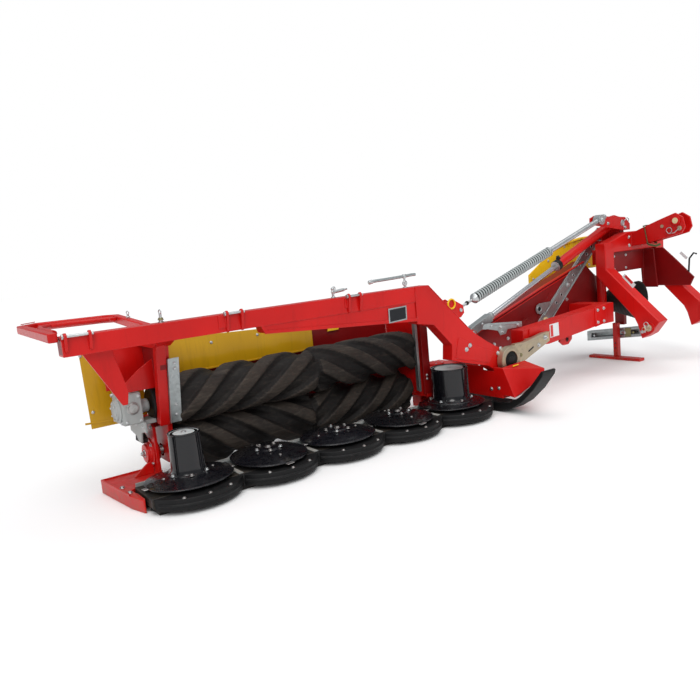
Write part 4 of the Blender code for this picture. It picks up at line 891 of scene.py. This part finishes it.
P = Piece("lever_details", "hitch_frame", "zinc_plate", 0.001)
P.prism([(1.972, 0.497), (1.985, 0.525), (2.02, 0.529), (2.30, 0.503), (2.338, 0.499), (2.338, 0.464), (2.20, 0.467), (2.18, 0.440), (2.13, 0.438), (2.11, 0.470), (2.02, 0.492)], "Y", -0.0165, -0.0115, GALV)
P.bolt((2.130, -0.0165, 0.492), (0, -1, 0), 0.0105, ZINC, 0.008)
P.bolt((2.295, -0.0165, 0.482), (0, -1, 0), 0.0105, ZINC, 0.008)
P.bolt((2.150, -0.0165, 0.455), (0, -1, 0), 0.0070, ZINC, 0.006)
P.tube([(2.045, -0.018, 0.505), (2.06, -0.019, 0.512), (2.30, -0.019, 0.488)], 0.0035, ZINC, 8)
P.done()

# ------------------------------------------------------------------ lift arm and front beam
P = Piece("arm_details", "hitch_frame", "dark_red_paint", 0.0012)
for off in (0.0, 0.026):
    pts = [(1.990, 0.362), (2.14, 0.470), (2.84, 0.684), (3.295, 0.8135)]
    n = []
    for (xa, za), (xb, zb) in zip(pts, pts[1:]):
        L = math.hypot(xb - xa, zb - za)
        nx, nz = -(zb - za) / L, (xb - xa) / L
        P.prism([(xa + nx * -off, za - nz * off), (xb + nx * -off, zb - nz * off), (xb - nx * (off + 0.008), zb - nz * (off + 0.008)), (xa - nx * (off + 0.008), za - nz * (off + 0.008))], "Y", 0.178 if off == 0 else 0.192, 0.2005, RED)
# lower flange and gusset of the arm in the darker red copy, as painted shade
P.prism([(2.12, 0.226), (2.70, 0.291), (3.42, 0.361), (3.42, 0.371), (2.70, 0.301), (2.12, 0.236)], "Y", 0.192, 0.2005, RED_SHADE)
P.prism([(2.72, 0.40), (2.90, 0.62), (2.93, 0.62), (2.76, 0.40)], "Y", 0.196, 0.2005, RED_SHADE)
for xx, zz in ((2.30, 0.34), (2.44, 0.36), (3.10, 0.55)):
    P.bolt((xx, 0.2000, zz), (0, -1, 0), 0.010, ZINC, 0.007)
P.done()

P = Piece("strut_details", "hitch_frame", "zinc_plate", 0.001)
s0, s1 = Vector((2.800, 0.1890, 0.400)), Vector((3.536, 0.1890, 1.0185))
d = (s1 - s0).normalized()
nrm = Vector((-d.z, 0, d.x))
# folded edges of the holed strut
for sgn in (-1, 1):
    P.bar(s0 + d * 0.06 + nrm * 0.040 * sgn, s0 + d * 0.91 + nrm * 0.040 * sgn, 0.012, 0.004, GALV, up=nrm)
# holes along the strut: zinc rims with flat black discs inside as painted shade
for t in (0.22, 0.30, 0.50, 0.60, 0.72, 0.80):
    p = s0 + d * t
    P.ring((p.x, 0.1908, p.z), (0, 1, 0), 0.0115, 0.0022, ZINC, 20, 8)
    P.lathe([(0.0105, 0.0), (0.0, 0.0003)], (p.x, 0.1911, p.z), (0, -1, 0), BLKM, 18)
p = s0 + d * 0.045
P.lathe([(0.026, 0.0), (0.026, 0.006), (0.021, 0.008), (0.0, 0.008)], (p.x, 0.1912, p.z), (0, -1, 0), CREAM, 28)
P.bolt((p.x, 0.1830, p.z), (0, -1, 0), 0.0120, ZINC, 0.008)
p = s0 + d * 0.40
P.lathe([(0.024, 0.0), (0.024, 0.005), (0.019, 0.007), (0.0, 0.007)], (p.x, 0.1912, p.z), (0, -1, 0), GALV, 28)
P.bolt((p.x, 0.1842, p.z), (0, -1, 0), 0.0130, ZINC, 0.010)
p = s0 + d * 0.46
P.bolt((p.x + 0.012, 0.1912, p.z - 0.012), (0, -1, 0), 0.0080, ZINC, 0.006)
# side eye of the strut
P.prism([(2.865, 0.500), (2.780, 0.482), (2.748, 0.492), (2.732, 0.518), (2.742, 0.546), (2.772, 0.560), (2.905, 0.560)], "Y", 0.1865, 0.1911, GALV)
P.ring((2.770, 0.1862, 0.521), (0, 1, 0), 0.0210, 0.0040, GALV, 26, 8)
# flat black disc in the eye as painted shade
P.lathe([(0.0160, 0.0), (0.0, 0.0003)], (2.770, 0.1862, 0.521), (0, -1, 0), BLKM, 20)
P.done()

P = Piece("front_beam_details", "hitch_frame", "red_paint", 0.0012)
P.prism([(2.508, 0.455), (2.600, 0.459), (2.603, 0.372), (2.511, 0.367)], "Y", -0.1012, -0.0990, WHITE)
P.prism([(2.515, 0.449), (2.540, 0.450), (2.542, 0.373), (2.517, 0.373)], "Y", -0.1018, -0.1008, LABELR)
# a hole: a ring in the darker red copy and a flat black disc inside, both painted shade
P.ring((2.737, -0.0608, 0.320), (0, 1, 0), 0.014, 0.003, RED_SHADE, 22, 8)
P.lathe([(0.013, 0.0), (0.0, 0.0003)], (2.737, -0.0603, 0.320), (0, -1, 0), BLKM, 22)
P.weld((2.25, -0.1000, 0.452), (3.12, -0.1000, 0.512), 0.0022, RED)
P.prism([(3.00, 0.506), (3.13, 0.514), (3.13, 0.385), (3.00, 0.370)], "Y", -0.1050, -0.0995, RED)
for xx, zz in ((3.03, 0.40), (3.10, 0.40), (3.03, 0.485), (3.10, 0.49)):
    P.bolt((xx, -0.105, zz), (0, -1, 0), 0.009, ZINC, 0.007)
P.block(2.30, 2.42, -0.108, -0.0995, 0.41, 0.46, RED)
P.done()

# ------------------------------------------------------------------ headstock
x0, x1, mid = 3.30, 4.08, 3.69
P = Piece("headstock_details", "hitch_frame", "red_paint", 0.0014)
for xf, s in ((x0, -1), (x1, 1)):
    for xs in ((x0, x0 + 0.11), (x1 - 0.11, x1))[0 if s < 0 else 1:][:1]:
        pass
    # linch pin, washers and ring on the lower link pins
    c = Vector((xf, -0.325, 0.33))
    P.lathe([(0.040, 0.0), (0.040, 0.006), (0.030, 0.008)], c, (s, 0, 0), RED, 32)
    P.lathe([(0.024, 0.008), (0.024, 0.020), (0.0205, 0.023), (0.0150, 0.024)], c, (s, 0, 0), TAN, 28)
    P.lathe([(0.0150, 0.024), (0.0150, 0.071), (0.012, 0.0745), (0.0, 0.0748)], c, (s, 0, 0), TAN, 24)
    P.rod(c + Vector((s * 0.058, 0, -0.026)), c + Vector((s * 0.058, 0, 0.028)), 0.0042, ZINC, 10, chamfer=0.0008)
    P.ring(c + Vector((s * 0.058, -0.010, 0.030)), (1, 0, 0), 0.0170, 0.0024, ZINC, 24, 8)
    P.bolt(c + Vector((0, 0.055, -0.030)), (s, 0, 0), 0.010, ZINC, 0.007)
# blank stickers
P.prism([(-0.128, 0.688), (-0.208, 0.607), (-0.232, 0.632), (-0.150, 0.712)], "X", x0 - 0.0012, x0 + 0.001, WHITE)
P.prism([(-0.146, 0.690), (-0.200, 0.635), (-0.214, 0.650), (-0.160, 0.704)], "X", x0 - 0.0018, x0 - 0.0008, LABELR)
# weld lines along the plates folded over the legs' front edge
for xa, xb in ((x0, x0 + 0.11), (x1 - 0.11, x1)):
    P.weld((xa + 0.004, -0.001, 0.742), (xb - 0.004, -0.001, 0.742), 0.0026, RED)
P.weld((x0 + 0.003, 0.05, 0.935), (x0 + 0.003, 0.05, 0.72), 0.0022, RED)
# black hook rod on the far leg
P.tube([(3.965, -0.255, 0.640), (3.960, -0.262, 0.700), (3.952, -0.270, 0.760), (3.958, -0.300, 0.800), (3.966, -0.320, 0.790)], 0.0065, BLKM, 10)
P.bolt((3.970, -0.25, 0.63), (-1, 0, 0), 0.010, ZINC, 0.007)
P.prism([(-0.185, 0.800), (-0.235, 0.752), (-0.250, 0.768), (-0.200, 0.816)], "X", 3.9684, 3.9702, WHITE)
# hitch plates behind the crossbeam
P.block(mid - 0.06, mid + 0.06, -0.004, 0.001, 0.895, 0.985, RED)
for zz in (0.91, 0.97):
    for xx in (mid - 0.085, mid + 0.085):
        P.bolt((xx, -0.0002, zz - 0.01), (0, -1, 0), 0.010, ZINC, 0.007)
P.done()

P = Piece("toplink_details", "hitch_frame", "red_paint", 0.0012)
for xf, s in ((mid - 0.055, -1), (mid + 0.055, 1)):
    P.lathe([(0.034, 0.0), (0.034, 0.008), (0.028, 0.010), (0.017, 0.010)], (xf, -0.345, 1.050), (s, 0, 0), RED, 32)
    P.lathe([(0.0205, 0.0), (0.0205, 0.0120), (0.016, 0.0130), (0.0, 0.0105)], (xf, -0.345, 1.050), (s, 0, 0), CREAM, 28)
    P.lathe([(0.016, 0.0), (0.016, 0.012), (0.012, 0.014), (0.0, 0.014)], (xf, -0.375, 0.995), (s, 0, 0), TAN, 20)
    P.ring((xf + s * 0.010, -0.30, 0.985), (1, 0, 0), 0.020, 0.0026, ZINC, 24, 8)
P.tube([(mid - 0.068, -0.372, 0.992), (mid - 0.070, -0.34, 0.965), (mid - 0.070, -0.30, 0.962), (mid - 0.068, -0.282, 0.980)], 0.0030, ZINC, 8)
P.rod((mid - 0.062, -0.245, 1.018), (mid - 0.053, -0.245, 1.018), 0.012, TAN, 16)
P.weld((mid - 0.0565, -0.003, 0.895), (mid - 0.0565, -0.003, 0.980), 0.0026, RED)
# green strap round the arm with a hanging end
loop = [(mid - 0.0565, -0.105, 1.028), (mid - 0.0580, -0.118, 0.965), (mid - 0.0570, -0.128, 0.905), (mid - 0.050, -0.132, 0.895), (mid + 0.050, -0.132, 0.895),
        (mid + 0.0575, -0.128, 0.905), (mid + 0.0580, -0.112, 1.0), (mid + 0.050, -0.100, 1.0345), (mid - 0.050, -0.100, 1.0345)]
P.tube(loop, 0.003, GREEN, closed=True, flat=(0.011, 0.0013))
P.tube([(mid - 0.060, -0.128, 0.915), (mid - 0.064, -0.14, 0.895), (mid - 0.065, -0.165, 0.888), (mid - 0.066, -0.200, 0.882), (mid - 0.066, -0.235, 0.893)], 0.003, GREEN, flat=(0.010, 0.0012))
P.done()

# ------------------------------------------------------------------ mast head, gearbox, guard cone
P = Piece("mast_details", "hitch_frame", "red_paint", 0.0012)
P.lathe([(0.030, 0.0), (0.030, 0.005), (0.020, 0.007), (0.0, 0.008)], (3.58, 0.1905, 1.07), (0, 1, 0), ZINC, 28)
P.lathe([(0.024, 0.0), (0.024, 0.004), (0.015, 0.006), (0.0, 0.007)], (3.58, 0.0355, 1.07), (0, -1, 0), ZINC, 28)
P.lathe([(0.020, 0.0), (0.020, 0.004), (0.012, 0.006), (0.0, 0.007)], (3.24, 0.0455, 1.105), (0, 1, 0), ZINC, 28)
P.tube([(3.600, 0.030, 1.085), (3.63, 0.025, 1.105), (3.655, 0.028, 1.095), (3.650, 0.030, 1.075)], 0.0035, ZINC, 8)
P.bolt((3.61, 0.0355, 1.035), (0, -1, 0), 0.011, ZINC, 0.008)
P.bolt((3.40, 0.0355, 1.075), (0, -1, 0), 0.010, ZINC, 0.007)
P.bolt((3.30, 0.0355, 1.095), (0, -1, 0), 0.010, ZINC, 0.007)
P.prism([(3.42, 1.078), (3.455, 1.125), (3.50, 1.132), (3.56, 1.118), (3.62, 1.112), (3.62, 1.100), (3.50, 1.110), (3.46, 1.098), (3.44, 1.070)], "Y", 0.046, 0.062, RED)
P.done()

P = Piece("gearbox_details", "hitch_frame", "dark_red_paint", 0.0014)
# ribs round the gearbox neck in the darker red copy, as painted shade
for i in range(7):
    yy = 0.185 + i * 0.030
    P.lathe([(0.058, -0.006), (0.066, -0.003), (0.066, 0.003), (0.058, 0.006)], (3.60, yy, 0.49), (0, 1, 0), RED_SHADE, 36)
P.lathe([(0.086, 0.0), (0.090, 0.004), (0.090, 0.022), (0.086, 0.026)], (3.60, 0.406, 0.49), (0, 1, 0), BLKM, 40)
for j in range(8):
    a = j * math.pi / 4
    P.bolt((3.60 + 0.074 * math.cos(a), 0.400, 0.49 + 0.074 * math.sin(a)), (0, -1, 0), 0.0082, ZINC, 0.007)
for xx in (3.47, 3.83):
    for zz in (0.39, 0.63):
        P.bolt((xx, 0.435, zz), (0, -1, 0), 0.011, ZINC, 0.008)
for i in range(5):
    P.block(3.53 + i * 0.070, 3.538 + i * 0.070, 0.450, 0.585, 0.6595, 0.672, RED_SHADE)
P.lathe([(0.016, 0), (0.016, 0.010), (0.010, 0.012), (0.010, 0.020), (0.0, 0.021)], (3.80, 0.52, 0.660), Z, ZINC, 18)
P.bolt((3.60 - 0.062, 0.175, 0.52), (-1, 0, 0), 0.009, ZINC, 0.008)
P.bolt((3.60 - 0.060, 0.245, 0.505), (-1, 0, 0), 0.009, ZINC, 0.008)
P.done()

P = Piece("guard_cone_detail", "hitch_frame", "black_paint", 0.0, 50)
vs, fs = [], []
sides, steps = 72, 26
for i in range(steps + 1):
    t = i / steps
    y = -0.0590 + t * 0.2225
    ro = 0.1412 - t * 0.0538
    rib = 0.0016 * (1 if (i % 4) in (1, 2) else -1) if 1 < i < steps - 1 else 0
    for k in range(sides):
        a = 2 * math.pi * k / sides
        vs.append((3.60 + (ro + min(rib, 0.0)) * math.cos(a), y, 0.49 + (ro + min(rib, 0.0)) * math.sin(a)))
for i in range(steps + 1):
    t = i / steps
    y = -0.0590 + t * 0.2225
    ri = 0.1350 - t * 0.0530
    for k in range(sides):
        a = 2 * math.pi * k / sides
        vs.append((3.60 + ri * math.cos(a), y, 0.49 + ri * math.sin(a)))
off = (steps + 1) * sides
for i in range(steps):
    for k in range(sides):
        k2 = (k + 1) % sides
        fs.append([i * sides + k, (i + 1) * sides + k, (i + 1) * sides + k2, i * sides + k2])
        fs.append([off + i * sides + k, off + i * sides + k2, off + (i + 1) * sides + k2, off + (i + 1) * sides + k])
for k in range(sides):
    k2 = (k + 1) % sides
    fs.append([k, k2, off + k2, off + k])
    fs.append([steps * sides + k2, steps * sides + k, off + steps * sides + k, off + steps * sides + k2])
P.add(vs, fs, RUBB)
P.done(["pto_guard"])

P = Piece("input_splines", "input_shaft", "chrome_rod", 0.0)
prof = []
n = 6
pts = []
for k in range(n * 8):
    a = 2 * math.pi * k / (n * 8)
    pts.append((3.60 + (0.0190 if (k % 8) < 4 else 0.0160) * math.cos(a), 0.49 + (0.0190 if (k % 8) < 4 else 0.0160) * math.sin(a)))
P.prism(pts, "Y", -0.0295, 0.075, STEEL)
P.lathe([(0.0190, 0.0), (0.0195, 0.004), (0.0195, 0.30), (0.0, 0.301)], (3.60, 0.075, 0.49), (0, 1, 0), STEEL, 32)
P.done(["input_shaft"])

P = Piece("back_panel_details", "hitch_frame", "dark_red_paint", 0.001)
# strip on the back panel in the darker red copy, as painted shade, with its bolts
P.prism([(3.42, 0.850), (3.96, 0.850), (3.96, 0.858), (3.42, 0.858)], "Y", 0.020, 0.0305, RED_SHADE)
for xx in (3.45, 3.60):
    P.bolt((xx, 0.030, 0.83), (0, -1, 0), 0.008, ZINC, 0.006)
    P.bolt((xx, 0.030, 0.735), (0, -1, 0), 0.008, ZINC, 0.006)
P.done()

# ------------------------------------------------------------------ yellow guard behind the linkage
P = Piece("rear_guard_details", "hitch_frame", "yellow_sheet", 0.0008)
P.prism([(3.23, 0.952), (3.50, 0.987), (3.88, 0.997), (3.88, 0.985), (3.50, 0.975), (3.23, 0.940)], "Y", 0.335, 0.3502, YELB)
P.prism([(2.872, 0.672), (2.872, 0.752), (2.884, 0.752), (2.884, 0.672)], "Y", 0.335, 0.3502, YELB)
P.prism([(3.36, 0.742), (3.36, 0.965), (3.40, 0.968), (3.40, 0.742)], "Y", 0.3440, 0.3502, YELB)
for xx, zz in ((2.92, 0.72), (3.10, 0.84), (3.30, 0.93), (3.55, 0.95), (3.80, 0.95), (3.60, 0.77), (3.80, 0.77)):
    P.bolt((xx, 0.350, zz), (0, -1, 0), 0.008, ZINC, 0.005)
P.done()

# ------------------------------------------------------------------ stand
P = Piece("stand_details", "hitch_frame", "zinc_plate", 0.0012)
d = (Vector((0, 0.49, 0.165)) - Vector((0, -0.02, 0.229))).normalized()
c0 = Vector((3.735, -0.02, 0.229))
nn = Vector((0, -d.z, d.y))
pw = c0 + d * 0.20
# olive clamp plate, wing bolt
P.lathe([(0.0145, 0.0), (0.0145, 0.0030), (0.0120, 0.0042), (0.0, 0.0042)], (3.7352, 0.145, 0.210), (-1, 0, 0), ZINC, 24)
P.bar((3.7338, 0.122, 0.206), (3.7338, 0.172, 0.211), 0.0030, 0.012, ZINC)
P.lathe([(0.0095, 0.0), (0.0095, 0.0030), (0.0, 0.0040)], (3.7352, 0.07, 0.215), (-1, 0, 0), OLIVE, 20)
P.lathe([(0.0095, 0.0), (0.0095, 0.0030), (0.0, 0.0040)], (3.7352, 0.42, 0.172), (-1, 0, 0), ZINC, 20)
P.prism([(0.09, 0.180), (0.14, 0.176), (0.14, 0.246), (0.09, 0.252)], "X", 3.7315, 3.7352, OLIVE)
P.done()
P = Piece("stand_foot_details", "parking_stand", "red_paint", 0.001)
P.prism([(3.672, 0.0225), (3.690, 0.060), (3.690, 0.0225)], "Y", 0.195, 0.205, RED)
P.weld((3.6905, 0.181, 0.0235), (3.7275, 0.181, 0.0235), 0.0024, RED)
# flat black discs as painted shade in the foot's holes
for zz in (0.09, 0.13):
    P.lathe([(0.0065, 0.0), (0.0, 0.0003)], (3.6896, 0.20, zz), (-1, 0, 0), BLKM, 16)
P.done()

# ------------------------------------------------------------------ lift cylinder
RE, CT, CY = Vector((1.985, 0.125, 0.465)), Vector((3.58, 0.125, 1.07)), 0.125
cd = (CT - RE).normalized()
clen = (CT - RE).length
g = CT - cd * 0.74
P = Piece("cylinder_details", "cylinder_barrel", "red_paint", 0.001)
P.lathe([(0.0370, 0.0), (0.0385, 0.003), (0.0385, 0.036), (0.0370, 0.040), (0.0352, 0.042)], g + cd * 0.002, cd, BLKM, 32)
P.lathe([(0.0212, -0.001), (0.030, -0.001), (0.0370, 0.001), (0.0370, 0.004)], g + cd * 0.0, cd, STEEL, 32)
up = Vector((-cd.z, 0, cd.x))
for t in (0.055, 0.66):
    p = g + cd * t + up * 0.033
    P.lathe([(0.016, 0.0), (0.016, 0.010), (0.012, 0.013), (0.012, 0.022), (0.009, 0.024), (0.0, 0.024)], p, up, BLKM if t < 0.1 else ZINC, 20)
P.ring(CT + Vector((0, -0.026, 0)), (0, 1, 0), 0.024, 0.003, RED, 24, 8)
P.lathe([(0.0362, 0.0), (0.0362, 0.018)], g + cd * 0.690, cd, RED, 32)
P.done()
P = Piece("cylinder_rod_detail", "cylinder_rod", "chrome_rod", 0.0014)
P.lathe([(0.0175, 0.0), (0.0175, clen - 0.56), (0.0150, clen - 0.555)], RE + cd * 0.05, cd, CHR, 32)
for s in (-1, 1):
    P.bar(RE + cd * 0.0 + Vector((0, s * 0.0215, 0)), RE + cd * 0.215 + Vector((0, s * 0.0215, 0)), 0.009, 0.052, GALV, up=up)
P.bar(RE + cd * 0.03 + up * 0.0235, RE + cd * 0.215 + up * 0.0235, 0.050, 0.006, GALV, up=up)
P.lathe([(0.0285, 0.0), (0.0285, 0.058)], RE + Vector((0, -0.029, 0)), (0, 1, 0), GALV, 32)
P.lathe([(0.0122, 0.0), (0.0125, 0.076), (0.0, 0.0765)], RE + Vector((0, -0.038, 0)), (0, 1, 0), ZINC, 24)
P.lathe([(0.024, 0.0), (0.026, 0.004), (0.026, 0.034), (0.022, 0.040)], RE + cd * 0.205, cd, ZINC, 28)
P.bolt(RE + cd * 0.12 + Vector((0, -0.026, 0)), (0, -1, 0), 0.009, ZINC, 0.006)
P.done(["cylinder_rod"])

# ------------------------------------------------------------------ relief spring
SE, ST = Vector((1.775, 0.0, 0.645)), Vector((3.24, 0.0, 1.105))
sd = (ST - SE).normalized()
su = Vector((-sd.z, 0, sd.x))
sl = (ST - SE).length
P = Piece("relief_coil", "relief_spring", "zinc_plate", 0.0, 180)
turns, r_wire, r_coil = 36, 0.0056, 0.0276
pts = []
n = turns * 14
for i in range(n + 1):
    t = i / n
    a = 2 * math.pi * turns * t
    grow = 1.0
    pts.append(SE + sd * (0.178 + 0.744 * t) + (su * math.cos(a) + Y * math.sin(a)) * r_coil * grow)
P.tube(pts, r_wire, COILM, 8)
P.done(["relief_spring"])
P = Piece("spring_rod_detail", "relief_spring", "chrome_rod", 0.001)
P.lathe([(0.0075, 0.010), (0.0080, 0.012), (0.0080, 0.138), (0.012, 0.140), (0.020, 0.150), (0.0305, 0.162), (0.0325, 0.166), (0.0325, 0.174), (0.026, 0.177), (0.0185, 0.178)], SE, sd, ZINC, 36)
P.lathe([(0.0185, 0.15), (0.0185, 0.928)], SE, sd, BLKM, 32)
P.lathe([(0.0186, 0.926), (0.0186, sl + 0.068), (0.0160, sl + 0.070), (0.0, sl + 0.0702)], SE, sd, ZINC, 32)
P.lathe([(0.0185, 0.925), (0.0325, 0.926), (0.0325, 0.934), (0.028, 0.938), (0.024, 0.944), (0.0220, 0.950), (0.0185, 0.951)], SE, sd, ZINC, 36)
P.lathe([(0.0172, 0.0), (0.0172, 0.024)], SE + Vector((0, -0.012, 0)), (0, 1, 0), ZINC, 24)
P.lathe([(0.0085, 0.0), (0.0085, 0.051)], SE + Vector((0, -0.0255, 0)), (0, 1, 0), ZINC, 20)
P.lathe([(0.012, 0.0), (0.013, 0.004), (0.013, 0.012), (0.012, 0.016)], SE + sd * 0.090, sd, BLKM, 20)
P.done(["spring_rod"])
P = Piece("trunnion_details", "spring_swivel", "zinc_plate", 0.001)
P.bolt(ST + Vector((0.0, -0.0265, 0.0)), (0, -1, 0), 0.013, ZINC, 0.008)
P.done()

# ------------------------------------------------------------------ stage, light, camera
def plain(name, col, rough=0.9):
    m, nt, b = new_mat(name)
    b.inputs["Base Color"].default_value = (*col, 1)
    b.inputs["Roughness"].default_value = rough
    b.inputs["Specular IOR Level"].default_value = 0.15
    return m


bm = bmesh.new()
s = 40
for p in ((-s, -s, -0.0005), (s, -s, -0.0005), (s, s, -0.0005), (-s, s, -0.0005)):
    bm.verts.new(p)
bm.faces.new(bm.verts)
me = bpy.data.meshes.new("floor")
bm.to_mesh(me)
bm.free()
floor = bpy.data.objects.new("floor", me)
scene.collection.objects.link(floor)
me.materials.append(plain("pale_floor", (0.93, 0.93, 0.93)))

world = bpy.data.worlds.new("studio")
scene.world = world
world.use_nodes = True
wnt = world.node_tree
bg = wnt.nodes["Background"]
bg.inputs[0].default_value = (0.93, 0.96, 1.0, 1)
bg.inputs[1].default_value = 0.42
white = wnt.nodes.new("ShaderNodeBackground")
white.inputs[0].default_value = (1, 1, 1, 1)
white.inputs[1].default_value = 1.0
path = wnt.nodes.new("ShaderNodeLightPath")
mixs = wnt.nodes.new("ShaderNodeMixShader")
wnt.links.new(path.outputs["Is Camera Ray"], mixs.inputs[0])
wnt.links.new(bg.outputs[0], mixs.inputs[1])
wnt.links.new(white.outputs[0], mixs.inputs[2])
wnt.links.new(mixs.outputs[0], wnt.nodes["World Output"].inputs["Surface"])


def sun(name, direction, strength, angle, col=(1, 1, 1)):
    L = bpy.data.lights.new(name, "SUN")
    L.energy = strength
    L.angle = math.radians(angle)
    L.color = col
    o = bpy.data.objects.new(name, L)
    scene.collection.objects.link(o)
    o.rotation_euler = Vector(direction).to_track_quat("-Z", "Y").to_euler()
    return o


sun("overhead", (0.10, 0.30, -1.0), 2.0, 70, (1.0, 0.995, 0.985))
sun("front", (0.55, 0.75, -0.55), 0.9, 25, (1.0, 0.99, 0.97))

a_, e_, r_ = math.radians(-34.831), math.radians(8.445), math.radians(-5.421)
back = Vector((math.sin(a_) * math.cos(e_), -math.cos(a_) * math.cos(e_), math.sin(e_)))
right = Vector((math.cos(a_), math.sin(a_), 0))
upv = back.cross(right)
Rv = right * math.cos(r_) + upv * math.sin(r_)
Uv = -right * math.sin(r_) + upv * math.cos(r_)
cam = bpy.data.cameras.new("camera")
cam.sensor_width = 36
cam.lens = 669.72 / 700 * 36
cam.clip_end = 200
cob = bpy.data.objects.new("camera", cam)
scene.collection.objects.link(cob)
M = Matrix.Identity(4)
for i in range(3):
    M[i][0], M[i][1], M[i][2] = Rv[i], Uv[i], back[i]
    M[i][3] = (Vector((-1.059, -2.919, 1.059)) + SHIFT)[i]
cob.matrix_world = M
scene.camera = cob
scene.view_settings.view_transform = "Standard"
scene.view_settings.look = "None"
scene.view_settings.exposure = 0.0
